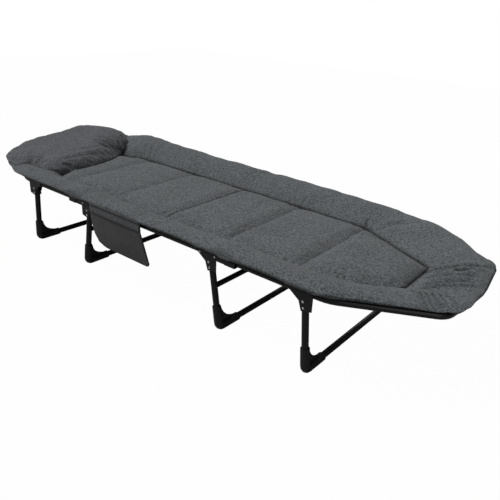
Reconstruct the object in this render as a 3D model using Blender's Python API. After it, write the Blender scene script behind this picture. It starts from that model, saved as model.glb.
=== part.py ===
"""Folding camping cot: a padded cover on three hinged tube sections, with four folding leg frames.

Metres, +Z up. X runs along the bed, with the head at -X and the foot at +X. Y runs across it,
with the pocket side at -Y. The floor is z = 0, and the origin lies under the middle of the bed.
Hardware is drawn for the foot half. The head half is the same hardware turned half a turn about Z.
"""
import math

import bmesh
import bpy
from mathutils import Matrix, Vector

# Clearances
GAP = 0.0003
PIN_CLEARANCE = 0.0003

# Steel tube of the rails, legs and end frames
TUBE_R = 0.0095
TUBE_WALL = 0.0012
TUBE_SIDES = 16
BRACE_R = 0.0080
BRACE_WALL = 0.0010

# Bed frame: the overall length and width are measured on the tube's axis
BED_LENGTH = 1.839
BED_WIDTH = 0.604
RAIL_Z = 0.237
FOLD_X = 0.338
FOLD_RISE = 0.021
RAIL_BUTT = 0.0005
END_TAPER_LENGTH = 0.242
END_TAPER_IN = 0.130
END_BEND_R = 0.100
END_CORNER_R = 0.045
END_BOW = 0.0225
END_TIP_R = 0.300
BEND_STEP = math.radians(12)

# Leg frames: where each pair of pivots is, and how far the legs lean outboard when open
LEG_PIVOT_Z = 0.2145
INNER_PIVOT_X = 0.277
INNER_LEAN = math.radians(9.5)
OUTER_PIVOT_TO_BEND = 0.062
OUTER_LEAN = math.radians(5.5)
LEG_TOP = 0.006
BRACE_DROP = 0.077

# Plastic corners of the leg frames
CORNER_R = 0.0125
CORNER_LEG_LENGTH = 0.066
CORNER_BASE_LENGTH = 0.082
CORNER_BEND_R = 0.0135
CORNER_PLUG = 0.0160
GUSSET_THICKNESS = 0.0060
GUSSET_TOP_Y = 0.0145
GUSSET_PULL = (0.0220, 0.0190)

# Pins and rivets
PIN_R = 0.0024
PIN_HEAD_R = 0.0038
PIN_HEAD_H = 0.0015
FOLD_PIN_R = 0.0030
FOLD_PIN_HEAD_R = 0.0046
STOP_PIN_R = 0.0025
STOP_PIN_DROP = 0.018
PIN_SIDES = 8

# Pressed brackets
PLATE = 0.0020
WEB = 0.0016
BRACKET_INBOARD = 0.044
BRACKET_OUTBOARD = 0.027
BRACKET_NECK = 0.0135
BRACKET_TOP = 0.0045
BRACKET_SKIRT = 0.0025
BRACKET_DROP = 0.028
BRACKET_DROP_OUTBOARD = 0.021
BRACKET_FOOT_INBOARD = 0.004
INNER_CHEEK_OUTBOARD = 0.0075
WEB_CLEAR_INBOARD = 0.0115
WEB_CLEAR_OUTBOARD = 0.0125
EAR_R = 0.0078
LEAF_LENGTH = 0.034
LEAF_TOP = 0.0040

# Bed cloth stretched between the rails
CLOTH_TOP_Z = 0.2345
CLOTH_THICKNESS = 0.0022
CLOTH_BRACKET_MARGIN = 0.0150
CLOTH_BRACKET_ROOM = 0.0040

# Padded cover: a quilted pad inside a soft roll, which overhangs the frame further at the head's corners
COVER_OUT = 0.0205
HEAD_SHOULDER_PAST_BEND = 0.045
HEAD_SHOULDER_R = 0.200
HEAD_CORNER_OUT = (0.028, 0.060)
HEAD_CORNER_R = 0.070
HEAD_TIP_OUT = 0.022
COVER_LIP_OUT = 0.0145
COVER_STEP_IN = 0.0165
COVER_STEP_SLOPE = 0.0015
COVER_LIP_Z = 0.2300
COVER_LIP_TO_TIP = 0.0495
COVER_OVER_TUBE = 0.0180
COVER_PAST_TIP = 0.0165
HINGE_NOTCH = 0.0180
NOTCH_STEP = 0.0060
RING_STEP = 0.0004
PAD_TO_RAIL = 0.122
PAD_TAPER_LENGTH = 0.252
PAD_TAPER_IN = 0.100
PAD_TO_TIP = 0.1675
PAD_VALLEY_Z = 0.2378
PAD_CROWN = 0.0130
PAD_PUFF_REACH = 0.055
SEAM_SPACING = 0.250
SEAM_SHARE = 0.40
ROLL_EDGE_Z = 0.2500
ROLL_CREST = 0.80
ROLL_RAMP = 1.6
ROLL_SAMPLES = (0.12, 0.35, 0.60, 0.80, 0.93, 1.0)
PAD_SAMPLES = (0.5, 0.85, 1.0)
BEND_STATION = 0.020
PAD_END_STATION = 0.015
END_STATION_SHARES = (0.12, 0.44, 0.605, 0.77, 0.83, 0.92, 0.965, 0.985)

# Crest height of the roll along each half of the bed, as (x, z)
FOOT_CREST = ((0.000, 0.2875), (0.300, 0.2870), (0.520, 0.2775), (0.700, 0.2620), (0.800, 0.2580), (0.930, 0.2520))
HEAD_CREST = ((0.000, 0.2875), (0.460, 0.2920), (0.650, 0.2970), (0.850, 0.2960), (0.930, 0.2800))

# Pillow on the head end
PILLOW_FRONT_TO_TIP = 0.3595
PILLOW_BACK_PAST_TIP = 0.0100
PILLOW_NEAR_SAMPLE = 6
PILLOW_FAR_SAMPLE = 8
PILLOW_TOP_Z = 0.3270
PILLOW_EDGE = 0.006
PILLOW_LIFT = 0.0004
PILLOW_BACK_LEAN = 1.35

# Side pocket on the -Y side: corner points are (x, z)
POCKET_CLOTH = 0.0015
POCKET_DEPTH = 0.0070
POCKET_HEM = 0.0060
POCKET_BACK_TOP_Z = 0.2580
POCKET_LEFT_X = -0.245
POCKET_RIGHT_X = 0.014
POCKET_MOUTH_Z = 0.2220
POCKET_LOWER_LEFT = ((-0.238, 0.190), (-0.226, 0.152), (-0.205, 0.128), (-0.170, 0.1175))
POCKET_LOWER_RIGHT = ((0.030, 0.1160), (0.042, 0.1270))
POCKET_RIGHT_TOP_X = 0.004

# Worked out from the values above
RAIL_Y = BED_WIDTH / 2
END_TIP_X = BED_LENGTH / 2
END_CORNER_X = END_TIP_X - END_BOW
END_CORNER_Y = RAIL_Y - END_TAPER_IN
END_BEND_X = END_CORNER_X - END_TAPER_LENGTH
OUTER_PIVOT_X = END_BEND_X - OUTER_PIVOT_TO_BEND
COVER_LIP_END_X = END_TIP_X - COVER_LIP_TO_TIP
COVER_OVER_TUBE_X = END_TIP_X - COVER_OVER_TUBE
COVER_END_X = END_TIP_X + COVER_PAST_TIP
PAD_HALF = RAIL_Y - PAD_TO_RAIL
PAD_END_X = END_TIP_X - PAD_TO_TIP
PAD_TAPER_X = PAD_END_X - PAD_TAPER_LENGTH
PAD_END_HALF = PAD_HALF - PAD_TAPER_IN
PILLOW_FRONT_X = END_TIP_X - PILLOW_FRONT_TO_TIP
PILLOW_BACK_X = END_TIP_X + PILLOW_BACK_PAST_TIP
FOLD_Z = RAIL_Z + FOLD_RISE
CHEEK_IN = TUBE_R + GAP
CHEEK_OUT = CHEEK_IN + PLATE
LEAF_IN = CHEEK_OUT + GAP
LEAF_OUT = LEAF_IN + PLATE
WEB_TOP_Z = RAIL_Z - TUBE_R - GAP
WEB_LOW_Z = WEB_TOP_Z - WEB
COVER_LOW_Z = CLOTH_TOP_Z + GAP
COVER_RAIL_Z = RAIL_Z + TUBE_R + GAP
HINGE_NOTCH_Y = RAIL_Y - LEAF_OUT - PIN_HEAD_H - 3 * GAP


def clear_scene():
    for old in list(bpy.data.objects):
        bpy.data.objects.remove(old, do_unlink=True)


def make_material(name, colour, roughness, metallic=0.0):
    material = bpy.data.materials.new(name)
    material.use_nodes = True
    shader = material.node_tree.nodes["Principled BSDF"]
    shader.inputs["Base Color"].default_value = (*colour, 1.0)
    shader.inputs["Roughness"].default_value = roughness
    shader.inputs["Metallic"].default_value = metallic
    return material


def make_object(name, mesh, material=None, location=(0, 0, 0), turn=0.0, parent=None):
    """Places a mesh in the scene, turned about Z and moved, under its parent if it has one."""
    thing = bpy.data.objects.new(name, mesh)
    bpy.context.scene.collection.objects.link(thing)
    thing.location = location
    thing.rotation_euler = (0, 0, turn)
    thing.parent = parent
    if material:
        mesh.materials.clear()
        mesh.materials.append(material)
    return thing


def to_mesh(name, bm, smooth=True):
    bmesh.ops.remove_doubles(bm, verts=bm.verts, dist=1e-7)
    bmesh.ops.recalc_face_normals(bm, faces=bm.faces)
    mesh = bpy.data.meshes.new(name)
    bm.to_mesh(mesh)
    bm.free()
    if smooth:
        mesh.shade_smooth()
        mesh.set_sharp_from_angle(angle=math.radians(40))
    return mesh


def combined(name, base, others, operation):
    """The mesh of base after an exact Boolean with each of the other meshes in turn."""
    for other in others:
        body = make_object("working_body", base)
        tool = make_object("working_tool", other)
        tool.hide_render = True
        tool.display_type = "WIRE"
        modifier = body.modifiers.new("combine", "BOOLEAN")
        modifier.operation = operation
        modifier.solver = "EXACT"
        modifier.object = tool
        graph = bpy.context.evaluated_depsgraph_get()
        base = bpy.data.meshes.new_from_object(body.evaluated_get(graph))
        for used in (body, tool):
            bpy.data.objects.remove(used, do_unlink=True)
    bm = bmesh.new()
    bm.from_mesh(base)
    bmesh.ops.dissolve_degenerate(bm, dist=1e-6, edges=bm.edges)
    bmesh.ops.triangulate(bm, faces=[f for f in bm.faces if len(f.verts) > 4])
    return to_mesh(name, bm)


def prism(outline, low, high, plane="XZ"):
    """A closed outline pushed along the third axis: Y for an XZ outline, X for YZ, Z for XY."""
    place = {
        "XZ": lambda a, b, c: (a, c, b),
        "YZ": lambda a, b, c: (c, a, b),
        "XY": lambda a, b, c: (a, b, c),
    }[plane]
    bm = bmesh.new()
    bottom = [bm.verts.new(place(a, b, low)) for a, b in outline]
    top = [bm.verts.new(place(a, b, high)) for a, b in outline]
    bm.faces.new(bottom)
    bm.faces.new(top)
    for i in range(len(outline)):
        j = (i + 1) % len(outline)
        bm.faces.new((bottom[i], bottom[j], top[j], top[i]))
    return to_mesh("prism", bm, smooth=False)


def box(x_range, y_range, z_range):
    corners = [(x_range[0], y_range[0]), (x_range[1], y_range[0]), (x_range[1], y_range[1]), (x_range[0], y_range[1])]
    return prism(corners, *z_range, plane="XY")


def turned(profile, sides, axis="Y", centre=(0, 0, 0)):
    """A solid turned from (distance along the axis, radius) points, with flat ends."""
    bm = bmesh.new()
    rings = []
    for along, radius in profile:
        ring = []
        for i in range(sides):
            angle = 2 * math.pi * i / sides
            a, b = radius * math.cos(angle), radius * math.sin(angle)
            point = Vector((a, along, b)) if axis == "Y" else Vector((a, b, along))
            ring.append(bm.verts.new(point + Vector(centre)))
        rings.append(ring)
    for low, high in zip(rings, rings[1:]):
        for i in range(sides):
            j = (i + 1) % sides
            bm.faces.new((low[i], low[j], high[j], high[i]))
    bm.faces.new(rings[0])
    bm.faces.new(rings[-1])
    return to_mesh("turned", bm)


def headed_pin(radius, head_radius, grip, centre=(0, 0, 0)):
    """A pin along Y, with a round head past each end of its grip."""
    half = grip + GAP
    end = half + PIN_HEAD_H
    profile = [(-end, head_radius), (-half, head_radius), (-half, radius)]
    profile += [(half, radius), (half, head_radius), (end, head_radius)]
    return turned(profile, PIN_SIDES, centre=centre)


def rounded(corners, radii, step=BEND_STEP):
    """A flat polyline through the corners, with an arc of each inner corner's own radius."""
    points = [Vector(corners[0])]
    for before, here, after, radius in zip(corners, corners[1:], corners[2:], radii):
        here = Vector(here)
        into = (here - Vector(before)).normalized()
        out = (Vector(after) - here).normalized()
        angle = into.angle(out)
        reach = radius * math.tan(angle / 2)
        side = (out - into).normalized()
        centre = here + side * (radius / math.cos(angle / 2))
        start = here - into * reach - centre
        count = max(2, math.ceil(angle / step))
        sign = 1 if into.x * out.y - into.y * out.x > 0 else -1
        for k in range(count + 1):
            points.append(centre + start_turned(start, sign * angle * k / count))
    points.append(Vector(corners[-1]))
    return points


def start_turned(vector, angle):
    return Vector((vector.x * math.cos(angle) - vector.y * math.sin(angle),
                   vector.x * math.sin(angle) + vector.y * math.cos(angle)))


def tangents(points):
    """The direction of travel at each point of a path."""
    found = []
    for i in range(len(points)):
        before = points[max(i - 1, 0)]
        after = points[min(i + 1, len(points) - 1)]
        into = (points[i] - before).normalized() if i else Vector(after - points[i]).normalized()
        out = (after - points[i]).normalized() if i < len(points) - 1 else into
        found.append((into + out).normalized())
    return found


def swept(path, across, radius, inner=0.0, sides=TUBE_SIDES, twist=0.0):
    """A round tube along a flat path. across is the direction square to the path's plane."""
    bm = bmesh.new()
    across = Vector(across)

    def ring(centre, along, size):
        normal = along.cross(across).normalized()
        made = []
        for i in range(sides):
            angle = 2 * math.pi * (i + 0.5) / sides + twist
            made.append(bm.verts.new(centre + size * (math.cos(angle) * normal + math.sin(angle) * across)))
        return made

    def skin(size):
        rings = [ring(c, t, size) for c, t in zip(path, tangents(path))]
        for low, high in zip(rings, rings[1:]):
            for i in range(sides):
                j = (i + 1) % sides
                bm.faces.new((low[i], low[j], high[j], high[i]))
        return rings[0], rings[-1]

    outer_ends = skin(radius)
    if inner:
        inner_ends = skin(inner)
        for wide, narrow in zip(outer_ends, inner_ends):
            for i in range(sides):
                j = (i + 1) % sides
                bm.faces.new((wide[i], wide[j], narrow[j], narrow[i]))
    else:
        for end in outer_ends:
            bm.faces.new(end)
    return to_mesh("swept", bm)


def straight_tube(start, end, across, radius=TUBE_R, wall=TUBE_WALL):
    return swept([Vector(start), Vector(end)], across, radius, radius - wall)


# Bed frame


def end_path_half():
    """The axis of the foot end's bent tube as (x, y) from the fold to the middle of the end, on +Y."""
    corners = [
        (FOLD_X + RAIL_BUTT, RAIL_Y),
        (END_BEND_X, RAIL_Y),
        (END_CORNER_X, END_CORNER_Y),
        (END_TIP_X, 0),
        (END_CORNER_X, -END_CORNER_Y),
    ]
    points = rounded(corners, (END_BEND_R, END_CORNER_R, END_TIP_R))
    half = [p for p in points if p.y > 1e-6][:-1 if points[-1].y > 0 else None]
    tip = max(p.x for p in points)
    return half + [Vector((tip, 0))]


def end_frame_mesh():
    half = end_path_half()
    points = half + [Vector((p.x, -p.y)) for p in reversed(half[:-1])]
    path = [Vector((p.x, p.y, RAIL_Z)) for p in points]
    return swept(path, (0, 0, 1), TUBE_R, TUBE_R - TUBE_WALL, sides=12)


def offset_half(distance):
    """The end tube's half path moved outward by a distance."""
    half = end_path_half()
    directions = tangents(half)
    directions[-1] = Vector((0, -1))
    return [p + distance * Vector((-t.y, t.x)) for p, t in zip(half, directions)]


def cover_outline(end):
    """Half the edge of the cover in plan, from the middle of the bed to the tip of one end."""
    edge_y = RAIL_Y + COVER_OUT
    if end == "foot":
        return [Vector((0, edge_y))] + offset_half(COVER_OUT)
    corner = (END_CORNER_X + HEAD_CORNER_OUT[0], END_CORNER_Y + HEAD_CORNER_OUT[1])
    tip = (END_TIP_X + HEAD_TIP_OUT, 0)
    corners = [(0, edge_y), (END_BEND_X + HEAD_SHOULDER_PAST_BEND, edge_y), corner, tip]
    return rounded(corners, (HEAD_SHOULDER_R, HEAD_CORNER_R))


def half_width(outline, x):
    """Half the width of an offset outline at x, or 0 past its end."""
    if x <= outline[0].x:
        return outline[0].y
    for a, b in zip(outline, outline[1:]):
        if a.x <= x <= b.x and b.x > a.x:
            return a.y + (b.y - a.y) * (x - a.x) / (b.x - a.x)
    return 0.0


# Brackets


def arc(centre, radius, start, end, count):
    """Points on a circle between two angles, measured from +X towards +Z."""
    step = (end - start) / count
    return [(centre[0] + radius * math.cos(start + k * step), centre[1] + radius * math.sin(start + k * step))
            for k in range(count + 1)]


def bracket_lower_edge(pivot_x):
    """The part of a leg bracket's outline that is the same at every station, inboard to outboard."""
    return [
        (pivot_x - BRACKET_INBOARD, RAIL_Z + BRACKET_TOP),
        (pivot_x - BRACKET_INBOARD, RAIL_Z - BRACKET_SKIRT),
        (pivot_x - BRACKET_NECK, LEG_PIVOT_Z - 0.001),
        (pivot_x - BRACKET_FOOT_INBOARD, LEG_PIVOT_Z - BRACKET_DROP),
        (pivot_x + BRACKET_OUTBOARD, LEG_PIVOT_Z - BRACKET_DROP_OUTBOARD),
    ]


def fold_bracket_outline():
    """Leg bracket that runs on along the rail to the fold pin's ear."""
    pin = (FOLD_X, FOLD_Z)
    outline = bracket_lower_edge(INNER_PIVOT_X)
    outline.append((INNER_PIVOT_X + BRACKET_OUTBOARD, WEB_LOW_Z))
    outline.append((FOLD_X - 0.002, WEB_LOW_Z))
    outline += arc(pin, EAR_R, 0, math.pi, 6)
    outline.append((FOLD_X - EAR_R, RAIL_Z + BRACKET_TOP))
    return outline


def leg_bracket_outline():
    outline = bracket_lower_edge(OUTER_PIVOT_X)
    outline.append((OUTER_PIVOT_X + BRACKET_OUTBOARD, RAIL_Z + BRACKET_TOP))
    return outline


def inner_cheek_cutters(pivot_x, lean, low_z):
    """Cutters that act on the cheek towards the bed only: the stop pin's slot and the outboard trim."""
    start = pivot_x + INNER_CHEEK_OUTBOARD
    end = pivot_x + BRACKET_OUTBOARD + PLATE
    return [stop_slot(pivot_x, lean), box((start, end), (CHEEK_IN - GAP, CHEEK_OUT + PLATE), (low_z, WEB_LOW_Z))]


def stop_slot(pivot_x, lean):
    """Cutter for the open slot that the leg's stop pin swings out of, inboard."""
    reach = STOP_PIN_R + PIN_CLEARANCE
    down = -math.pi / 2
    closed_end = down + lean + reach / STOP_PIN_DROP
    open_end = down - math.radians(72)
    pivot = (pivot_x, LEG_PIVOT_Z)
    outline = arc(pivot, STOP_PIN_DROP + reach, closed_end, open_end, 6)
    outline += arc(pivot, STOP_PIN_DROP - reach, open_end, closed_end, 6)
    return prism(outline, 0, 2 * CHEEK_OUT)


def channel(outline, inside, webs):
    """A folded channel: two cheeks of one outline, joined by webs below the rail."""
    low = min(z for x, z in outline) - PLATE
    high = max(z for x, z in outline) + PLATE
    left = min(x for x, z in outline) - PLATE
    right = max(x for x, z in outline) + PLATE
    solid = prism(outline, -inside - PLATE, inside + PLATE)
    width = (-inside, inside)
    tools = [box((left, right), width, (WEB_TOP_Z, high)), box((left, right), width, (low, WEB_LOW_Z))]
    edges = [left] + [x for web in webs for x in web] + [right]
    for start, end in zip(edges[::2], edges[1::2]):
        tools.append(box((start, end), width, (WEB_LOW_Z - PLATE, WEB_TOP_Z + PLATE)))
    return solid, tools


def pin_hole(x, z, radius):
    reach = 2 * LEAF_OUT
    return turned([(-reach, radius), (reach, radius)], PIN_SIDES, centre=(x, 0, z))


def fold_bracket_mesh():
    webs = [
        (INNER_PIVOT_X - BRACKET_INBOARD, INNER_PIVOT_X - WEB_CLEAR_INBOARD),
        (INNER_PIVOT_X + WEB_CLEAR_OUTBOARD, FOLD_X - 0.003),
    ]
    solid, tools = channel(fold_bracket_outline(), CHEEK_IN, webs)
    tools.append(pin_hole(INNER_PIVOT_X, LEG_PIVOT_Z, PIN_R + PIN_CLEARANCE))
    tools.append(pin_hole(FOLD_X, FOLD_Z, FOLD_PIN_R + PIN_CLEARANCE))
    tools += inner_cheek_cutters(INNER_PIVOT_X, INNER_LEAN, LEG_PIVOT_Z - 2 * BRACKET_DROP)
    return combined("fold_bracket", solid, tools, "DIFFERENCE")


def leg_bracket_mesh():
    webs = [(OUTER_PIVOT_X - BRACKET_INBOARD, OUTER_PIVOT_X - WEB_CLEAR_INBOARD)]
    solid, tools = channel(leg_bracket_outline(), CHEEK_IN, webs)
    tools.append(pin_hole(OUTER_PIVOT_X, LEG_PIVOT_Z, PIN_R + PIN_CLEARANCE))
    tools += inner_cheek_cutters(OUTER_PIVOT_X, OUTER_LEAN, LEG_PIVOT_Z - 2 * BRACKET_DROP)
    return combined("leg_bracket", solid, tools, "DIFFERENCE")


def fold_leaf_mesh():
    """The end section's half of the fold hinge, whose cheeks pass outside the fold bracket's."""
    end = FOLD_X + LEAF_LENGTH
    outline = [(FOLD_X - 0.002, WEB_LOW_Z), (end, WEB_LOW_Z), (end, RAIL_Z + LEAF_TOP)]
    outline.append((FOLD_X + EAR_R, RAIL_Z + LEAF_TOP))
    outline += arc((FOLD_X, FOLD_Z), EAR_R, 0, math.pi, 6)
    solid, tools = channel(outline, LEAF_IN, [(FOLD_X + 0.004, end)])
    tools.append(pin_hole(FOLD_X, FOLD_Z, FOLD_PIN_R + PIN_CLEARANCE))
    return combined("fold_leaf", solid, tools, "DIFFERENCE")


# Leg frames, drawn with the pivot at the origin and the legs straight down


def leg_length(lean):
    """From the pivot to the axis of the base tube, so that the corners stand on the floor."""
    return (LEG_PIVOT_Z - CORNER_R) / math.cos(lean)


def leg_tube_mesh(lean):
    """The -Y leg tube, with a headed stop pin that sticks out towards the bed."""
    bottom = -leg_length(lean) + CORNER_PLUG + GAP
    tube = straight_tube((0, 0, LEG_TOP), (0, 0, bottom), (1, 0, 0))
    hole = pin_hole(0, 0, PIN_R + PIN_CLEARANCE)
    tube = combined("leg_tube", tube, [hole], "DIFFERENCE")
    under_head = CHEEK_OUT + GAP
    profile = [(TUBE_WALL / 2 - TUBE_R, STOP_PIN_R), (under_head, STOP_PIN_R), (under_head, PIN_HEAD_R)]
    profile.append((under_head + PIN_HEAD_H, PIN_HEAD_R))
    stop = turned(profile, PIN_SIDES, centre=(0, 0, -STOP_PIN_DROP))
    return combined("leg_tube", tube, [stop], "UNION")


def base_tube_mesh(lean):
    half = RAIL_Y - CORNER_PLUG - GAP
    z = -leg_length(lean)
    return straight_tube((0, -half, z), (0, half, z), (1, 0, 0))


def brace_mesh():
    half = RAIL_Y - TUBE_R - GAP
    return straight_tube((0, -half, -BRACE_DROP), (0, half, -BRACE_DROP), (1, 0, 0), BRACE_R, BRACE_WALL)


def corner_mesh(lean):
    """The -Y plastic corner: a bent sleeve with a gusset, bored for the leg and the base tube."""
    drop = leg_length(lean)
    corners = [(0, CORNER_LEG_LENGTH), (0, 0), (CORNER_BASE_LENGTH, 0)]
    flat = rounded(corners, (CORNER_BEND_R,), step=math.radians(23))
    path = [Vector((0, p.x - RAIL_Y, p.y - drop)) for p in flat]
    facet_r = CORNER_R / math.cos(math.pi / TUBE_SIDES)
    sleeve = swept(path, (1, 0, 0), facet_r, twist=lean - math.pi / TUBE_SIDES)
    top = Vector((GUSSET_TOP_Y, CORNER_LEG_LENGTH - 0.004))
    pull = Vector(GUSSET_PULL)
    tip = Vector((CORNER_BASE_LENGTH - 0.004, CORNER_R - 0.001))
    curve = []
    for k in range(7):
        t = k / 6
        curve.append((1 - t) ** 2 * top + 2 * t * (1 - t) * pull + t ** 2 * tip)
    outline = [Vector((0, top.y))] + curve + [Vector((tip.x, 0)), Vector((0, 0))]
    outline = [(p.x - RAIL_Y, p.y - drop) for p in outline]
    gusset = prism(outline, -GUSSET_THICKNESS / 2, GUSSET_THICKNESS / 2, plane="YZ")
    body = combined("corner", sleeve, [gusset], "UNION")
    bore = TUBE_R + GAP
    leg_bore = turned([(CORNER_PLUG - drop, bore), (0, bore)], TUBE_SIDES, axis="Z", centre=(0, -RAIL_Y, 0))
    base_bore = turned([(CORNER_PLUG - RAIL_Y, bore), (0, bore)], TUBE_SIDES, centre=(0, 0, -drop))
    return combined("corner", body, [leg_bore, base_bore], "DIFFERENCE")


def mirrored(mesh):
    """A copy of a mesh with its two sides in Y swapped."""
    copy = mesh.copy()
    copy.transform(Matrix.Scale(-1, 4, (0, 1, 0)))
    copy.flip_normals()
    return copy


def leg_frame(name, pivot_x, lean, braced, paint, plastic, steel):
    """One folding leg frame, under an empty on its pivot axis."""
    head = name.startswith("head")
    pivot = bpy.data.objects.new(name + "_pivot", None)
    bpy.context.scene.collection.objects.link(pivot)
    pivot.location = (-pivot_x if head else pivot_x, 0, LEG_PIVOT_Z)
    pivot.rotation_euler = (0, -lean, math.pi if head else 0)
    tube = leg_tube_mesh(lean)
    corner = corner_mesh(lean)
    pin = headed_pin(PIN_R, PIN_HEAD_R, CHEEK_OUT)
    for y_sign in (-1, 1):
        side = "near" if (y_sign < 0) != head else "far"
        y = y_sign * RAIL_Y
        own_tube, own_corner = (tube, corner) if y_sign < 0 else (mirrored(tube), mirrored(corner))
        make_object(f"{name}_tube_{side}", own_tube, paint, (0, y, 0), parent=pivot)
        make_object(f"{name}_pin_{side}", pin, steel, (0, y, 0), parent=pivot)
        make_object(f"{name}_corner_{side}", own_corner, plastic, parent=pivot)
    make_object(f"{name}_base_tube", base_tube_mesh(lean), paint, parent=pivot)
    if braced:
        make_object(f"{name}_brace", brace_mesh(), paint, parent=pivot)


# Bed cloth


def centre_cloth_mesh():
    """Sheet between the centre rails, drawn in at the brackets."""
    wide = RAIL_Y - TUBE_R - GAP
    narrow = RAIL_Y - CLOTH_BRACKET_MARGIN
    free = INNER_PIVOT_X - BRACKET_INBOARD - CLOTH_BRACKET_ROOM
    end = FOLD_X - 3 * RAIL_BUTT
    quarter = [(free, wide), (free, narrow), (end, narrow)]
    outline = quarter + [(x, -y) for x, y in reversed(quarter)]
    outline += [(-x, -y) for x, y in quarter] + [(-x, y) for x, y in reversed(quarter)]
    return prism(outline, CLOTH_TOP_Z - CLOTH_THICKNESS, CLOTH_TOP_Z, plane="XY")


def end_cloth_mesh():
    """Sheet inside the foot end's bent tube, drawn in at the hinge and the leg brackets."""
    inside = offset_half(-TUBE_R - GAP)
    narrow = RAIL_Y - CLOTH_BRACKET_MARGIN
    wide = RAIL_Y - TUBE_R - GAP
    hinge = FOLD_X + LEAF_LENGTH + CLOTH_BRACKET_ROOM
    low = OUTER_PIVOT_X - BRACKET_INBOARD - CLOTH_BRACKET_ROOM
    high = OUTER_PIVOT_X + BRACKET_OUTBOARD + CLOTH_BRACKET_ROOM
    side = [(FOLD_X + 3 * RAIL_BUTT, narrow), (hinge, narrow), (hinge, wide), (low, wide), (low, narrow), (high, narrow)]
    side += [(p.x, p.y) for p in inside if p.x > high + CLOTH_BRACKET_ROOM and p.y > 0.001]
    tip = max(p.x for p in inside)
    outline = side + [(tip, 0)] + [(x, -y) for x, y in reversed(side)]
    return prism(outline, CLOTH_TOP_Z - CLOTH_THICKNESS, CLOTH_TOP_Z, plane="XY")


# Padded cover


def distance_to(points, x, y):
    """Distance from (x, y) to a polyline."""
    here = Vector((x, y))
    best = math.inf
    for a, b in zip(points, points[1:]):
        run = b - a
        t = max(0.0, min(1.0, (here - a).dot(run) / run.length_squared))
        best = min(best, (here - a - t * run).length)
    return best


def pad_half(x):
    """Half the width of the quilted pad at x."""
    if x <= PAD_TAPER_X:
        return PAD_HALF
    share = min(1.0, (x - PAD_TAPER_X) / (PAD_END_X - PAD_TAPER_X))
    return PAD_HALF + (PAD_END_HALF - PAD_HALF) * share


def pad_border():
    """The sewn edge of the pad on +X and +Y."""
    return [Vector((-PAD_TAPER_X, PAD_HALF)), Vector((PAD_TAPER_X, PAD_HALF)),
            Vector((PAD_END_X, PAD_END_HALF)), Vector((PAD_END_X, 0))]


def roll_height(s, crest_z):
    """Height of the soft roll, for s from 0 at the pad's seam to 1 at the cover's edge."""
    if s < ROLL_CREST:
        return PAD_VALLEY_Z + (crest_z - PAD_VALLEY_Z) * (1 - (1 - s / ROLL_CREST) ** ROLL_RAMP)
    past = (s - ROLL_CREST) / (1 - ROLL_CREST)
    return ROLL_EDGE_Z + (crest_z - ROLL_EDGE_Z) * math.sqrt(max(0.0, 1 - past ** 2))


def crest_height(x, end):
    """Height of the roll's crest at x."""
    crest = FOOT_CREST if end == "foot" else HEAD_CREST
    for (x0, z0), (x1, z1) in zip(crest, crest[1:]):
        if x <= x1:
            return z0 + (z1 - z0) * (x - x0) / (x1 - x0)
    return crest[-1][1]


def cover_height(x, y, border, outline, end):
    """Top of the padded cover at a point of the +X, +Y quarter of one end's half."""
    inside = x < PAD_END_X and y < pad_half(x)
    if not inside:
        from_pad = distance_to(border, x, y)
        from_edge = distance_to(outline, x, y)
        s = from_pad / max(from_pad + from_edge, 1e-9)
        return roll_height(s, crest_height(x, end))
    border_puff = puff(distance_to(border, x, y))
    seam_puff = puff(abs(x - SEAM_SPACING * round(x / SEAM_SPACING)))
    return PAD_VALLEY_Z + PAD_CROWN * border_puff * (SEAM_SHARE + (1 - SEAM_SHARE) * seam_puff)


def puff(distance):
    """How far the wadding rises at a distance from a seam, from 0 to 1."""
    return 1 - (1 - min(distance / PAD_PUFF_REACH, 1.0)) ** 2


def cover_stations(start, end, seams, extra):
    """Where the cover's cross-sections lie: close at the seams, wider between them."""
    found = {start, end, *extra}
    for seam in seams:
        found |= {seam + d for d in (-0.045, -0.014, 0, 0.014, 0.045)}
    for a, b in zip(seams, seams[1:]):
        found.add((a + b) / 2)
    kept = sorted(x for x in found if start <= x <= end)
    return [x for i, x in enumerate(kept) if i == 0 or x - kept[i - 1] > 1e-5]


def cover_section(x, end):
    """One cross-section of the cover at x: its top points on +Y, then its underside points on +Y."""
    border, outline = pad_border(), cover_outline(end)
    at = abs(x)
    notch = abs(at - FOLD_X) - HINGE_NOTCH
    over_tube = at >= COVER_OVER_TUBE_X
    edge = half_width(outline, at)
    lip = half_width(offset_half(COVER_LIP_OUT), at)
    step = half_width(offset_half(-COVER_STEP_IN), at)
    lifted = at >= COVER_LIP_END_X or notch < 1.5 * RING_STEP
    lip_z = COVER_RAIL_Z if lifted else COVER_LIP_Z
    low_z = COVER_RAIL_Z if over_tube else COVER_LOW_Z
    if notch < 0.5 * RING_STEP:
        edge = HINGE_NOTCH_Y
        lip = edge - NOTCH_STEP
        step = lip - NOTCH_STEP
    if over_tube:
        frame_edge = half_width(offset_half(COVER_OUT), at)
        lip = 0.8 * frame_edge
        step = 0.6 * frame_edge
    inner = min(pad_half(at), 0.45 * edge)
    ys = [0.0] + [inner * t for t in PAD_SAMPLES]
    ys += [inner + (edge - inner) * s for s in ROLL_SAMPLES]
    top = [(y, cover_height(at, y, border, outline, end)) for y in ys]
    under = [(edge, lip_z), (lip, lip_z), (lip - 1e-4, COVER_RAIL_Z)]
    under += [(step + COVER_STEP_SLOPE, COVER_RAIL_Z), (step, low_z)]
    return top, under


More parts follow.
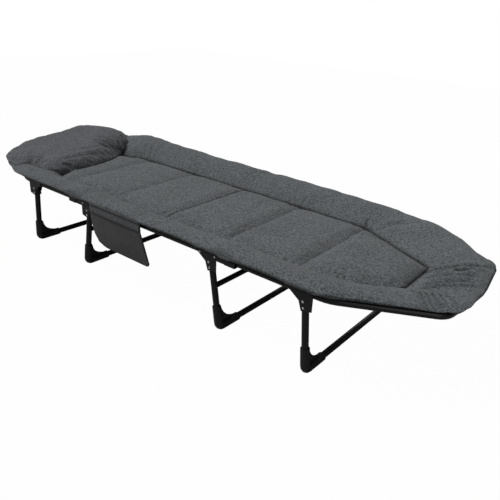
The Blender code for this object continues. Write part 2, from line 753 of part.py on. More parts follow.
def cover_mesh(stations, end=None):
    """Skins the cross-sections at the stations into one closed body. No end is the middle section."""
    bm = bmesh.new()
    rings = []
    for x in stations:
        top, under = cover_section(x, end or ("foot" if x >= 0 else "head"))
        low_z = under[-1][1]
        loop = [(-y, z) for y, z in reversed(top[1:])] + top + under + [(0, low_z)]
        loop += [(-y, z) for y, z in reversed(under)]
        rings.append([bm.verts.new((x, y, z)) for y, z in loop])
    count = len(rings[0])
    for low, high in zip(rings, rings[1:]):
        for i in range(count):
            j = (i + 1) % count
            bm.faces.new((low[i], low[j], high[j]))
            bm.faces.new((low[i], high[j], high[i]))
    for end in (rings[0], rings[-1]):
        bmesh.ops.triangulate(bm, faces=[bm.faces.new(end)])
    return to_mesh("cover", bm)


def notch_stations(side):
    """Rings where the cover steps in for a hinge: side is -1 before the fold and 1 past it."""
    return [FOLD_X + side * (HINGE_NOTCH + k * RING_STEP) for k in (0, 1, 2)]


def centre_stations():
    half = FOLD_X - RAIL_BUTT
    notch = notch_stations(-1)
    seams = [k * SEAM_SPACING for k in (-1, 0, 1)]
    return cover_stations(-half, half, seams, notch + [-x for x in notch])


def end_stations():
    """Stations of an end cover, closer where its plan, its underside or the pad changes."""
    start = FOLD_X + RAIL_BUTT
    shares = [start + share * (COVER_END_X - start) for share in END_STATION_SHARES]
    bends = [END_BEND_X - BEND_STATION, END_BEND_X + BEND_STATION]
    pad = [PAD_END_X - PAD_END_STATION, PAD_END_X, PAD_END_X + PAD_END_STATION]
    steps = [COVER_LIP_END_X - RING_STEP, COVER_LIP_END_X, COVER_OVER_TUBE_X - RING_STEP, COVER_OVER_TUBE_X]
    extra = notch_stations(1) + shares + bends + pad + steps + [PILLOW_FRONT_X]
    return cover_stations(start, COVER_END_X, [2 * SEAM_SPACING], extra)


def pillow_mesh():
    """Pillow over the head end: its underside is the cover's own surface, lifted a little."""
    xs = [x for x in end_stations() if PILLOW_FRONT_X <= x <= PILLOW_BACK_X]
    bm = bmesh.new()
    lower, upper = [], []
    for x in xs:
        top = cover_section(x, "head")[0]
        row = [(-y, z) for y, z in reversed(top[1:PILLOW_FAR_SAMPLE + 1])] + top[:PILLOW_NEAR_SAMPLE + 1]
        u = ((x - PILLOW_FRONT_X) / (PILLOW_BACK_X - PILLOW_FRONT_X)) ** PILLOW_BACK_LEAN
        low_row, high_row = [], []
        for b, (y, z) in enumerate(row):
            v = b / (len(row) - 1)
            swell = (1 - abs(2 * u - 1) ** 2.6) * (1 - abs(2 * v - 1) ** 3.2)
            crown = z + PILLOW_EDGE + (PILLOW_TOP_Z - z - PILLOW_EDGE) * swell ** 0.6
            low_row.append(bm.verts.new((-x, -y, z + PILLOW_LIFT)))
            high_row.append(bm.verts.new((-x, -y, crown)))
        lower.append(low_row)
        upper.append(high_row)
    for rows in (lower, upper):
        for low, high in zip(rows, rows[1:]):
            for i in range(len(low) - 1):
                bm.faces.new((low[i], low[i + 1], high[i + 1]))
                bm.faces.new((low[i], high[i + 1], high[i]))
    rim_low, rim_high = grid_rim(lower), grid_rim(upper)
    for i in range(len(rim_low)):
        j = (i + 1) % len(rim_low)
        bm.faces.new((rim_low[i], rim_low[j], rim_high[j], rim_high[i]))
    return to_mesh("pillow", bm)


def grid_rim(rows):
    """The outer points of a grid, in order round it."""
    return rows[0] + [r[-1] for r in rows[1:]] + rows[-1][-2::-1] + [r[0] for r in rows[-2:0:-1]]


# Side pocket


def pocket_outline(top_z, right_top_x):
    """The pocket's shape as (x, z), from its top left corner round by the bottom."""
    outline = [(POCKET_LEFT_X, top_z), *POCKET_LOWER_LEFT, *POCKET_LOWER_RIGHT]
    outline.append((right_top_x, top_z))
    return outline


def pocket_back_mesh():
    """The back cloth, whose top is sewn to the cover's side and is a little wider than the pouch."""
    y = -(RAIL_Y + COVER_OUT + GAP)
    outline = pocket_outline(POCKET_MOUTH_Z, POCKET_RIGHT_TOP_X)
    outline += [(POCKET_RIGHT_X, POCKET_MOUTH_Z + 0.006), (POCKET_RIGHT_X, POCKET_BACK_TOP_Z)]
    outline.append((POCKET_LEFT_X, POCKET_BACK_TOP_Z))
    return prism(outline, y - POCKET_CLOTH, y)


def pocket_front_mesh():
    """The pouch: a front cloth whose sewn rim stands on the back cloth, open at the mouth."""
    back = -(RAIL_Y + COVER_OUT + GAP) - POCKET_CLOTH - GAP
    outline = pocket_outline(POCKET_MOUTH_Z, POCKET_RIGHT_TOP_X)
    solid = prism(outline, back - POCKET_DEPTH - POCKET_CLOTH, back)
    middle = Vector((sum(x for x, z in outline) / len(outline), sum(z for x, z in outline) / len(outline)))
    span_x = max(x for x, z in outline) - min(x for x, z in outline)
    span_z = max(z for x, z in outline) - min(z for x, z in outline)
    shrink = (1 - 2 * POCKET_HEM / span_x, 1 - 2 * POCKET_HEM / span_z)
    inner = [(middle.x + shrink[0] * (x - middle.x), middle.y + shrink[1] * (z - middle.y)) for x, z in outline]
    inner[0] = (inner[0][0], POCKET_MOUTH_Z + POCKET_HEM)
    inner[-1] = (inner[-1][0], POCKET_MOUTH_Z + POCKET_HEM)
    hollow = prism(inner, back - POCKET_DEPTH, back + POCKET_CLOTH)
    return combined("pocket_front", solid, [hollow], "DIFFERENCE")


def build():
    clear_scene()
    paint = make_material("black_powder_coat", (0.016, 0.016, 0.017), 0.38)
    plastic = make_material("black_plastic", (0.020, 0.020, 0.021), 0.55)
    steel = make_material("rivet_steel", (0.62, 0.62, 0.60), 0.30, 1.0)
    cover_cloth = make_material("grey_cover_cloth", (0.085, 0.092, 0.098), 0.90)
    pocket_cloth = make_material("dark_pocket_cloth", (0.035, 0.036, 0.038), 0.80)
    bed_cloth = make_material("black_bed_cloth", (0.030, 0.031, 0.033), 0.85)

    fold_bracket, leg_bracket, fold_leaf = fold_bracket_mesh(), leg_bracket_mesh(), fold_leaf_mesh()
    end_frame, end_cloth = end_frame_mesh(), end_cloth_mesh()
    fold_pin = headed_pin(FOLD_PIN_R, FOLD_PIN_HEAD_R, LEAF_OUT, centre=(FOLD_X, 0, FOLD_Z))

    half = FOLD_X - RAIL_BUTT
    rail = straight_tube((-half, 0, RAIL_Z), (half, 0, RAIL_Z), (0, 0, 1))
    for side, y in (("near", -RAIL_Y), ("far", RAIL_Y)):
        make_object(f"centre_rail_{side}", rail, paint, (0, y, 0))
        for end, turn in (("foot", 0), ("head", math.pi)):
            place = dict(location=(0, y, 0), turn=turn)
            brackets = (fold_bracket, leg_bracket)
            if (side == "near") != (end == "foot"):
                brackets = [mirrored(bracket) for bracket in brackets]
            make_object(f"{end}_fold_bracket_{side}", brackets[0], paint, **place)
            make_object(f"{end}_fold_leaf_{side}", fold_leaf, paint, **place)
            make_object(f"{end}_fold_pin_{side}", fold_pin, steel, **place)
            make_object(f"{end}_leg_bracket_{side}", brackets[1], paint, **place)
    make_object("centre_bed_cloth", centre_cloth_mesh(), bed_cloth)
    make_object("centre_cover", cover_mesh(centre_stations()), cover_cloth)
    for end, turn in (("foot", 0), ("head", math.pi)):
        make_object(f"{end}_end_frame", end_frame, paint, turn=turn)
        make_object(f"{end}_bed_cloth", end_cloth, bed_cloth, turn=turn)
        make_object(f"{end}_cover", cover_mesh(end_stations(), end), cover_cloth, turn=turn)
        leg_frame(f"{end}_inner_leg", INNER_PIVOT_X, INNER_LEAN, True, paint, plastic, steel)
        leg_frame(f"{end}_outer_leg", OUTER_PIVOT_X, OUTER_LEAN, False, paint, plastic, steel)
    make_object("pillow", pillow_mesh(), cover_cloth)
    make_object("pocket_back", pocket_back_mesh(), pocket_cloth)
    make_object("pocket_front", pocket_front_mesh(), pocket_cloth)


build()
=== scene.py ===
"""Folding camp bed as photographed: the CAD frame with its padded cover, pillow, pocket and cloths.

Metres, +Z up, head at -X, foot at +X, pocket side at -Y. The two ends of the cover are drawn apart,
each from the middle of the bed outwards, so most of their shapes are given for x above zero.
"""

import math

import bmesh
import bpy
import numpy as np
from mathutils import Matrix, Vector, noise

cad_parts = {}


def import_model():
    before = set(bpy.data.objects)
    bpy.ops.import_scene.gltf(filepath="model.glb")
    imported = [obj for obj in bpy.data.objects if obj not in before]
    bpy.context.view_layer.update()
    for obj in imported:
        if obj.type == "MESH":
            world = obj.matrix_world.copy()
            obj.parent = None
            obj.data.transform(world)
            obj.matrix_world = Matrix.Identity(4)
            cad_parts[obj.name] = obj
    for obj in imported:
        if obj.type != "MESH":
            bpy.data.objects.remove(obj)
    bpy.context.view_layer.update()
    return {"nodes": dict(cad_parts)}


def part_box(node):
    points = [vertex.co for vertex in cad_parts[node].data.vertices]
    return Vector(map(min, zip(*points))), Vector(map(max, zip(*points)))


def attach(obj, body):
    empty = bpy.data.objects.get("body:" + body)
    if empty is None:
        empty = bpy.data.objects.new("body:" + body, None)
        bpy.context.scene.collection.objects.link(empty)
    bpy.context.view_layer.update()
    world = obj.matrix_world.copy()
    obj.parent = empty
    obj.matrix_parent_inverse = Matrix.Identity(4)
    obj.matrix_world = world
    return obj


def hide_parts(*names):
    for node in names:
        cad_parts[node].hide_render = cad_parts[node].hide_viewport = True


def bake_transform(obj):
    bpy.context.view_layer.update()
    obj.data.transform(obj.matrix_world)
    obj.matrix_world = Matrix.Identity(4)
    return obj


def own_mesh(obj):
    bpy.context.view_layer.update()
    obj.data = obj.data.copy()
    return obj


# Line of the tube inside the cover's roll
SHOULDER_X = 0.655
CORNER = (0.897, 0.172)
TUBE_BENDS = (0.100, 0.045, 0.300)
ROLL_STEP = 0.0042

# Rows of points round the roll: up to its crest, down to its widest line, in to its hem, and round its hollow
RISE_ROWS = 28
FALL_ROWS = 10
SIDE_ROWS = 7
HOLLOW_ROWS = 11

# How far the roll's widest line lies outside the tube: (length along the tube, distance)
EDGE_OUT = 0.0235
FOOT_NEAR_REACH = (
    (0, 0.0235), (0.60, 0.0235), (0.70, 0.0115), (0.85, 0.0105), (0.900, 0.0062), (0.922, 0.0085),
    (0.940, 0.0180), (0.960, 0.0250), (0.99, 0.0285), (1.02, 0.0250), (1.05, 0.0210), (1.11, 0.0150),
)
FOOT_FAR_REACH = (
    (0, 0.0235), (0.62, 0.0235), (0.70, 0.0275), (0.775, 0.0265), (0.818, 0.0180), (0.855, 0.0112),
    (1.00, 0.0105), (1.03, 0.0120), (1.11, 0.0140),
)
HEAD_SHOULDER = (0.690, 0.3310)
HEAD_CORNER = (0.952, 0.226)
HEAD_TIP_X = 0.950
HEAD_RADII = (0.200, 0.070)

# Height of the roll's crest: (length along the tube, height)
CREST = {
    "foot": {
        "near": ((0, 0.266), (0.52, 0.266), (0.63, 0.265), (0.71, 0.260), (0.89, 0.2515), (1.11, 0.252)),
        "far": (
            (0, 0.2885), (0.30, 0.2885), (0.52, 0.2795), (0.63, 0.270), (0.71, 0.264), (0.82, 0.260),
            (1.11, 0.252),
        ),
    },
    "head": {
        "near": ((0, 0.266), (0.50, 0.266), (0.60, 0.263), (0.82, 0.262), (1.11, 0.268)),
        "far": (
            (0, 0.2885), (0.26, 0.291), (0.46, 0.297), (0.56, 0.301), (0.65, 0.3025), (0.75, 0.290),
            (0.87, 0.270), (1.11, 0.268),
        ),
    },
}

# Across the roll: share at which the crest lies, power of the rise to it, and height share of the widest line
CREST_SHARE = {"near": 0.62, "far": 0.80}
ROLL_RAMP = 1.7
WIDEST_SHARE = 0.50

# Height of the hem beside the tube: along the sides, at each end, and where the foot's near tube lies bare
HEM_Z = 0.2452
HEM_END_Z = 0.2405
HEM_HEAD_Z = 0.2355
HEM_BARE_Z = 0.2485

# Hollow under the roll: half width at the tube, at a bracket, and with its height at a hinge
TUNNEL = 0.0107
TUNNEL_BRACKET = 0.0152
TUNNEL_HINGE = (0.0180, 0.0313)
HOLLOW_ABOVE_HEM = 0.0022

# Low hump of the near roll over each hinge
HINGE_HUMP = 0.0085
HUMP_REACH = 0.050

# Thickness and laps of the cloth, and how far the padding's parts stay above the laced sheets
CLOTH_WALL = 0.0012
HEM_LAP = 0.0014
PAD_LAP = 0.0012
ROLL_FLOOR = 0.0012
ROLL_LEAST = 0.0025
PAD_FLOOR = 0.0010

# Quilted pad: corners of its sewn edge on each side, from the middle of the bed to the middle of the end
PAD_END_X = 0.765
PAD_BORDER = {
    "foot": {
        "near": ((0, 0.215), (0.500, 0.207), (0.655, 0.183), (PAD_END_X, 0.112), (PAD_END_X, 0.035)),
        "far": ((0, 0.180), (0.500, 0.172), (0.640, 0.101), (PAD_END_X, 0.040), (PAD_END_X, -0.035)),
    },
    "head": {
        "near": ((0, 0.215), (0.400, 0.215), (0.560, 0.215), (PAD_END_X, 0.080), (PAD_END_X, 0)),
        "far": ((0, 0.180), (0.400, 0.178), (0.560, 0.176), (PAD_END_X, 0.080), (PAD_END_X, 0)),
    },
}
PAD_STEP = 0.0050
PAD_COLUMNS = 81
VALLEY_Z = 0.2370
PAD_CROWN = 0.0120
BORDER_REACH = 0.050
SEAM_PITCH = 0.250
SEAM_REACH = 0.034
SEAM_DEPTH = 0.0105

# Painted shade on the cloth, where the valleys and the roll's underside lie in shadow: at the pad's sewn
# edge, its softer near side, the cross seams, and under the roll
SEWN_EDGE_SHADE = 1.15
SOFT_EDGE_SHADE = 0.22
CROSS_SEAM_SHADE = 0.60
UNDER_ROLL_SHADE = 0.55

# Pillow: its sewn edge and some heights of its top
PILLOW_EDGE = (
    (-0.645, -0.240, 0.256), (-0.598, -0.210, 0.249), (-0.580, -0.160, 0.245), (-0.569, -0.108, 0.244),
    (-0.576, -0.032, 0.245), (-0.589, 0.027, 0.245), (-0.611, 0.080, 0.244), (-0.640, 0.125, 0.243),
    (-0.656, 0.158, 0.250), (-0.669, 0.180, 0.261), (-0.681, 0.200, 0.268), (-0.705, 0.222, 0.276),
    (-0.735, 0.243, 0.281), (-0.757, 0.262, 0.283), (-0.785, 0.280, 0.281), (-0.860, 0.262, 0.266),
    (-0.935, 0.200, 0.258), (-0.944, 0.100, 0.256), (-0.944, 0.000, 0.255), (-0.943, -0.100, 0.256),
    (-0.936, -0.185, 0.257), (-0.908, -0.234, 0.259), (-0.860, -0.262, 0.260), (-0.800, -0.280, 0.261),
    (-0.745, -0.286, 0.263), (-0.716, -0.244, 0.264), (-0.682, -0.234, 0.260),
)
PILLOW_TOPS = (
    (-0.90, -0.21, 0.284), (-0.90, -0.13, 0.302), (-0.90, -0.04, 0.314), (-0.90, 0.06, 0.323),
    (-0.90, 0.11, 0.327), (-0.90, 0.16, 0.323), (-0.876, 0.20, 0.317), (-0.805, 0.20, 0.320),
    (-0.736, 0.20, 0.315), (-0.69, 0.19, 0.303), (-0.80, 0.25, 0.302), (-0.78, 0.00, 0.308),
    (-0.78, 0.10, 0.318), (-0.70, -0.08, 0.298), (-0.66, 0.05, 0.298), (-0.65, -0.15, 0.286),
    (-0.62, 0.00, 0.288), (-0.78, -0.22, 0.282), (-0.85, -0.22, 0.282), (-0.78, -0.15, 0.294),
)
PILLOW_SIDE = 0.062
PILLOW_CELLS = 104
PILLOW_CENTRE = (-0.775, -0.010)

# Creases: points along the valley, its depth, its width, and the strength of the painted shade in it at its
# first point
CREASES = (
    (((0.766, 0.002), (0.782, 0.018), (0.807, 0.042), (0.834, 0.072), (0.886, 0.118)), 0.0150, 0.0060, 1.9),
    (((0.835, 0.040), (0.853, 0.055), (0.867, 0.077)), 0.0080, 0.0060, 1.2),
    (((0.784, -0.037), (0.811, -0.008), (0.846, 0.016), (0.897, 0.050)), 0.0075, 0.0065, 0.5),
    (((0.800, -0.080), (0.827, -0.048), (0.857, -0.019), (0.900, 0.015)), 0.0085, 0.0065, 0.8),
    (((0.800, -0.110), (0.846, -0.063), (0.875, -0.036), (0.912, -0.012)), 0.0075, 0.0055, 0.6),
    (((0.785, -0.120), (0.810, -0.150), (0.842, -0.190)), 0.0060, 0.0055, 0.4),
    (((0.811, -0.132), (0.839, -0.171), (0.870, -0.215)), 0.0085, 0.0050, 0.8),
    (((0.824, -0.128), (0.851, -0.161), (0.882, -0.198)), 0.0080, 0.0050, 0.8),
    (((0.838, -0.120), (0.864, -0.150), (0.893, -0.184)), 0.0080, 0.0050, 0.8),
    (((0.852, -0.112), (0.878, -0.137), (0.905, -0.165)), 0.0075, 0.0050, 0.7),
    (((0.866, -0.104), (0.892, -0.122), (0.920, -0.142)), 0.0060, 0.0050, 0.6),
    (((0.727, 0.048), (0.724, 0.066), (0.714, 0.092)), 0.0080, 0.0055, 0.9),
    (((0.502, 0.168), (0.496, 0.188), (0.489, 0.212)), 0.0080, 0.0050, 0.9),
    (((0.540, 0.160), (0.580, 0.215), (0.640, 0.265)), 0.0035, 0.0080, 0.0),
    (((0.250, 0.181), (0.246, 0.200), (0.241, 0.222)), 0.0035, 0.0055, 0.3),
    (((0.020, 0.181), (0.014, 0.200), (0.008, 0.220)), 0.0030, 0.0055, 0.2),
    (((-0.250, 0.181), (-0.256, 0.200), (-0.260, 0.220)), 0.0030, 0.0055, 0.2),
    (((-0.520, 0.178), (-0.545, 0.215), (-0.575, 0.250)), 0.0045, 0.0060, 0.2),
    # A crease of no depth: only painted shade in the wedge where the pillow's edge meets the near roll
    (((-0.748, -0.290), (-0.716, -0.250), (-0.682, -0.240), (-0.640, -0.246), (-0.590, -0.214)),
     0.0, 0.0070, 1.6),
)
# Creases in the pillow, given the same way, with painted shade in them
PILLOW_CREASES = (
    (((-0.672, 0.190), (-0.696, 0.186), (-0.722, 0.188)), 0.0150, 0.0055, 1.4),
    (((-0.645, 0.140), (-0.664, 0.146), (-0.690, 0.148)), 0.0130, 0.0050, 1.4),
    (((-0.632, 0.118), (-0.668, 0.080), (-0.720, 0.030)), 0.0045, 0.0060, 0.3),
    (((-0.634, 0.122), (-0.680, 0.110), (-0.740, 0.080)), 0.0045, 0.0055, 0.3),
    (((-0.690, 0.212), (-0.735, 0.215), (-0.800, 0.220)), 0.0050, 0.0070, 0.2),
    (((-0.632, 0.118), (-0.620, 0.060), (-0.614, -0.020), (-0.618, -0.110), (-0.636, -0.190)),
     0.0052, 0.0070, 0.35),
    (((-0.636, 0.120), (-0.648, 0.060), (-0.652, 0.000), (-0.660, -0.070)), 0.0032, 0.0070, 0.1),
    (((-0.712, -0.240), (-0.735, -0.222), (-0.775, -0.214)), 0.0045, 0.0080, 0.1),
)

# Cloth simulation: how far a point may move and how much the cloth may grow, for each kind of piece
SETTLE = {"roll": (0.0050, 0.012), "pad": (0.0050, 0.025), "pillow": (0.0100, 0.035)}
PRESSURE = 4.0
FRAMES = 20

# Side pocket: left and right edges by height, from the bottom up
POCKET_LEFT = (
    (0.1165, -0.165), (0.1185, -0.178), (0.128, -0.205), (0.152, -0.226), (0.190, -0.238), (0.222, -0.245),
)
POCKET_RIGHT = ((0.1165, 0.030), (0.1185, 0.036), (0.127, 0.041), (0.222, 0.004))
POCKET_MOUTH_Z = 0.2220
POCKET_TOP_Z = 0.2560
POCKET_LOW_Z = 0.1165
POCKET_SEAM_Z = 0.2465
POCKET_BULGE = 0.0062
SHEET_THICKNESS = 0.0010

# Laced sheets: end, gap at a fold, and distance in from the tube's axis
BED_CLOTH_END_X = 0.9040
BED_CLOTH_GAP = 0.0010
BED_CLOTH_IN = 0.0110

# Rivets on the brackets: radius, height, and places from the leg's pin on the foot's side
RIVET_RADIUS = 0.0032
RIVET_RISE = 0.0016
RIVET_BELOW = (0.0023, -0.0185)
RIVETS_ABOVE = ((-0.0345, 0.0210), (0.0210, 0.0215))

# Photograph's camera, fitted to its lines
CAMERA_AT = (1.2139, -1.3335, 0.8920)
CAMERA_YAW = math.radians(37.90)
CAMERA_PITCH = math.radians(24.70)
CAMERA_ROLL = math.radians(3.01)
CAMERA_LENS_PX = 553.6
PICTURE_PX = 500

# Studio
FLOOR_GLOW = 0.985
SKY_STRENGTH = 0.15
KEY_STRENGTH = 2.75
KEY_ANGLE = math.radians(24)
KEY_DIRECTION = (0.62, 0.34, -1)


# Materials


def shader_of(material):
    return material.node_tree.nodes["Principled BSDF"]


def link(material, source, target):
    material.node_tree.links.new(source, target)


def new_material(name, roughness, metallic=0.0):
    material = bpy.data.materials.new(name)
    material.use_nodes = True
    shader = shader_of(material)
    shader.inputs["Roughness"].default_value = roughness
    shader.inputs["Metallic"].default_value = metallic
    return material


def add(material, kind, **inputs):
    """A shader node with some of its inputs or settings given."""
    node = material.node_tree.nodes.new(kind)
    for key, value in inputs.items():
        name = key.replace("_", " ").title()
        if name in node.inputs:
            node.inputs[name].default_value = value
        else:
            setattr(node, key, value)
    return node


def place_coordinates(material, scale):
    """The object's own coordinates, scaled along each axis."""
    coordinates = add(material, "ShaderNodeTexCoord")
    mapping = add(material, "ShaderNodeMapping", scale=scale)
    link(material, coordinates.outputs["Object"], mapping.inputs["Vector"])
    return mapping.outputs["Vector"]


def ramp(material, factor, stops):
    """Colour by a factor, given as (position, colour) stops."""
    node = add(material, "ShaderNodeValToRGB")
    node.color_ramp.elements[0].position = stops[0][0]
    node.color_ramp.elements[0].color = (*stops[0][1], 1)
    node.color_ramp.elements[1].position = stops[-1][0]
    node.color_ramp.elements[1].color = (*stops[-1][1], 1)
    for position, colour in stops[1:-1]:
        element = node.color_ramp.elements.new(position)
        element.color = (*colour, 1)
    link(material, factor, node.inputs["Fac"])
    return node.outputs["Color"]


def mixed(material, share, first, second, blend="MIX"):
    """Two colours mixed, with this share of the second."""
    node = add(material, "ShaderNodeMix", data_type="RGBA", blend_type=blend)
    node.inputs["Factor"].default_value = share
    link(material, first, node.inputs["A"])
    link(material, second, node.inputs["B"])
    return node.outputs["Result"]


def heather_cloth(name, dark, light, speckle, bump):
    """Woven cloth of mixed yarns: speckled colour, with a fine plain weave and soft fuzz, darkened by the
    painted shade kept in each point's seam attribute.
    """
    material = new_material(name, 0.92)
    shader = shader_of(material)
    yarn = add(material, "ShaderNodeTexNoise", scale=1.0, detail=4.0, roughness=0.85)
    link(material, place_coordinates(material, (170, 290, 290)), yarn.inputs["Vector"])
    patch = add(material, "ShaderNodeTexNoise", scale=1.0, detail=4.0, roughness=0.6)
    link(material, place_coordinates(material, (9, 9, 9)), patch.inputs["Vector"])
    speckled = ramp(material, yarn.outputs["Fac"], [(0.5 - speckle, dark), (0.5 + speckle, light)])
    middle = tuple((a + b) / 2 for a, b in zip(dark, light))
    mottled = ramp(material, patch.outputs["Fac"], [(0.3, dark), (0.7, middle)])
    cloth = mixed(material, 0.22, speckled, mottled)
    # Painted shade: the seam attribute darkens the cloth's colour towards a shadow tone.
    seam = add(material, "ShaderNodeAttribute", attribute_name="seam")
    shadow = ramp(material, seam.outputs["Fac"], [(0.0, (1, 1, 1)), (1.0, (0.05, 0.05, 0.05))])
    link(material, mixed(material, 1.0, cloth, shadow, "MULTIPLY"), shader.inputs["Base Color"])
    shader.inputs["Sheen Weight"].default_value = 0.08
    shader.inputs["Sheen Roughness"].default_value = 0.6
    shader.inputs["Specular IOR Level"].default_value = 0.25
    warp = add(material, "ShaderNodeTexWave", scale=1.0, distortion=0.6, bands_direction="X")
    weft = add(material, "ShaderNodeTexWave", scale=1.0, distortion=0.6, bands_direction="Y")
    for wave in (warp, weft):
        link(material, place_coordinates(material, (170, 170, 170)), wave.inputs["Vector"])
    weave = mixed(material, 0.5, warp.outputs["Color"], weft.outputs["Color"])
    fuzzy = mixed(material, 0.5, weave, yarn.outputs["Color"])
    relief = add(material, "ShaderNodeBump", strength=bump, distance=0.0006)
    link(material, fuzzy, relief.inputs["Height"])
    link(material, relief.outputs["Normal"], shader.inputs["Normal"])
    return material


def coated_metal(name, colour, roughness, grain):
    """Powder coat: low gloss with a fine orange-peel surface."""
    material = new_material(name, roughness)
    shader = shader_of(material)
    shader.inputs["Specular IOR Level"].default_value = 0.30
    cells = add(material, "ShaderNodeTexNoise", scale=1.0, detail=2.0, roughness=0.5)
    link(material, place_coordinates(material, (grain, grain, grain)), cells.inputs["Vector"])
    lighter = tuple(1.6 * c for c in colour)
    coat = ramp(material, cells.outputs["Fac"], [(0.35, colour), (0.75, lighter)])
    link(material, coat, shader.inputs["Base Color"])
    relief = add(material, "ShaderNodeBump", strength=0.12, distance=0.0002)
    link(material, cells.outputs["Fac"], relief.inputs["Height"])
    link(material, relief.outputs["Normal"], shader.inputs["Normal"])
    return material


def bright_steel(name):
    material = new_material(name, 0.28, 1.0)
    shader = shader_of(material)
    scratches = add(material, "ShaderNodeTexNoise", scale=1.0, detail=2.0)
    link(material, place_coordinates(material, (900, 200, 900)), scratches.inputs["Vector"])
    tint = ramp(material, scratches.outputs["Fac"], [(0.3, (0.60, 0.60, 0.59)), (0.7, (0.78, 0.78, 0.76))])
    link(material, tint, shader.inputs["Base Color"])
    return material


# Outline


def turn_of(a, b):
    """Angle from one direction to another."""
    return math.atan2(a[0] * b[1] - a[1] * b[0], a[0] * b[0] + a[1] * b[1])


def length_along(points):
    """Length of a line from its start to each of its points."""
    return np.concatenate([[0], np.cumsum(np.linalg.norm(np.diff(points, axis=0), axis=1))])


def rounded_path(corners, radii, step):
    """Evenly spaced points along straight lines joined by arcs."""
    corners = [np.array(c, float) for c in corners]
    pieces = [[corners[0]]]
    for before, here, after, radius in zip(corners, corners[1:], corners[2:], radii):
        into = (here - before) / np.linalg.norm(here - before)
        out = (after - here) / np.linalg.norm(after - here)
        angle = turn_of(into, out)
        reach = radius * math.tan(abs(angle) / 2)
        start = here - into * reach
        side = np.array([-into[1], into[0]]) * math.copysign(1, angle)
        centre = start + side * radius
        arm = start - centre
        for t in np.linspace(0, angle, 24):
            c, s = math.cos(t), math.sin(t)
            pieces.append([centre + np.array([c * arm[0] - s * arm[1], s * arm[0] + c * arm[1]])])
    pieces.append([corners[-1]])
    points = np.vstack(pieces)
    along = length_along(points)
    at = np.linspace(0, along[-1], max(2, int(along[-1] / step)) + 1)
    return np.stack([np.interp(at, along, points[:, k]) for k in (0, 1)], axis=1)


def eased(values, low, high):
    """0 up to low and 1 from high on, with a smooth rise between them."""
    t = np.clip((np.asarray(values, float) - low) / (high - low), 0, 1)
    return t * t * (3 - 2 * t)


def near_to_far(near, far, mirror=1.0):
    """Values from the near side round the end to the far side: near ones first, mirrored if asked."""
    return np.concatenate([near * mirror, far[::-1][1:]])


class Cover:
    """Plan and heights of one end's half of the cover, along the tube from the near side to the far side."""

    def __init__(self, end, rail_y, tip_x):
        self.end = end
        self.sign = 1 if end == "foot" else -1
        corners = [(0, rail_y), (SHOULDER_X, rail_y), CORNER, (tip_x, 0), (CORNER[0], -CORNER[1])]
        half = rounded_path(corners, TUBE_BENDS, ROLL_STEP)
        half = half[half[:, 1] > 0.002]
        half = np.vstack([half, [half[:, 0].max() + 0.0002, 0]])
        along = np.gradient(half, axis=0)
        along /= np.linalg.norm(along, axis=1)[:, None]
        out = np.stack([-along[:, 1], along[:, 0]], axis=1)
        out[-1] = (1, 0)
        run = length_along(half)
        flip = np.array([1, -1])
        self.line = near_to_far(half, half, flip)
        self.out = near_to_far(out, out, flip)
        self.run = near_to_far(run, run)
        self.near = np.arange(len(self.run)) < len(run)
        self.borders = [self.border_half(run, side) for side in ("near", "far")]
        self.border = near_to_far(*self.borders, flip)
        self.reach = self.outward_reach(half, out, run)
        self.edge = self.line + self.out * self.reach[:, None]
        crests = [np.interp(run, *zip(*CREST[end][side])) for side in ("near", "far")]
        self.crest = near_to_far(*crests)
        middle = (CREST_SHARE["near"] + CREST_SHARE["far"]) / 2
        turning = eased(run, 0.70, run[-1])
        peaks = [CREST_SHARE[side] + (middle - CREST_SHARE[side]) * turning for side in ("near", "far")]
        self.peak = near_to_far(*peaks)
        self.hem = self.hem_height()

    def border_half(self, run, side):
        """The pad's sewn edge on one side, spread along the tube's run."""
        corners = PAD_BORDER[self.end][side]
        border = rounded_path(corners, (0.10, 0.10, 0.012), 0.002)
        along = length_along(border)
        keys = [0, 0.40, SHOULDER_X, run[-1] - CORNER[1], run[-1]]
        shoulder = np.interp(0.62, border[:, 0], along)
        values = [0, 0.40, shoulder, along[-1] - corners[3][1] + corners[4][1], along[-1]]
        at = np.interp(run, keys, values)
        return np.stack([np.interp(at, along, border[:, k]) for k in (0, 1)], axis=1)

    def outward_reach(self, half, out, run):
        """How far the cover's widest line lies outside the tube's line."""
        if self.end == "foot":
            near = np.interp(run, *zip(*FOOT_NEAR_REACH))
            far = np.interp(run, *zip(*FOOT_FAR_REACH))
            return near_to_far(near, far)
        edge_y = half[0, 1] + EDGE_OUT
        corners = [(0, edge_y), HEAD_SHOULDER, HEAD_CORNER, (HEAD_TIP_X, -0.1)]
        outline = rounded_path(corners, HEAD_RADII, 0.001)
        found = []
        for point, normal in zip(half, out):
            apart = outline - point
            off = np.abs(apart[:, 0] * normal[1] - apart[:, 1] * normal[0]) + 10 * (apart @ normal < 0)
            found.append((apart @ normal)[off.argmin()])
        found = smoothed(np.array(found), 4)
        return near_to_far(found, found)

    def hem_height(self):
        """Height of the hem along the tube."""
        hem = np.full(len(self.run), HEM_Z)
        if self.end == "foot":
            hem += (HEM_BARE_Z - HEM_Z) * eased(self.run, 0.640, 0.720) * self.near
            hem += (HEM_END_Z - hem) * eased(self.run, 0.925, 0.955)
        else:
            hem += (HEM_HEAD_Z - HEM_Z) * eased(self.run, 0.640, 0.720)
        return hem


def smoothed(values, reach):
    """Running mean of some values, with the ends kept."""
    before = 2 * values[0] - values[reach:0:-1]
    after = 2 * values[-1] - values[-2:-reach - 2:-1]
    kernel = np.ones(2 * reach + 1) / (2 * reach + 1)
    return np.convolve(np.concatenate([before, values, after]), kernel, "valid")


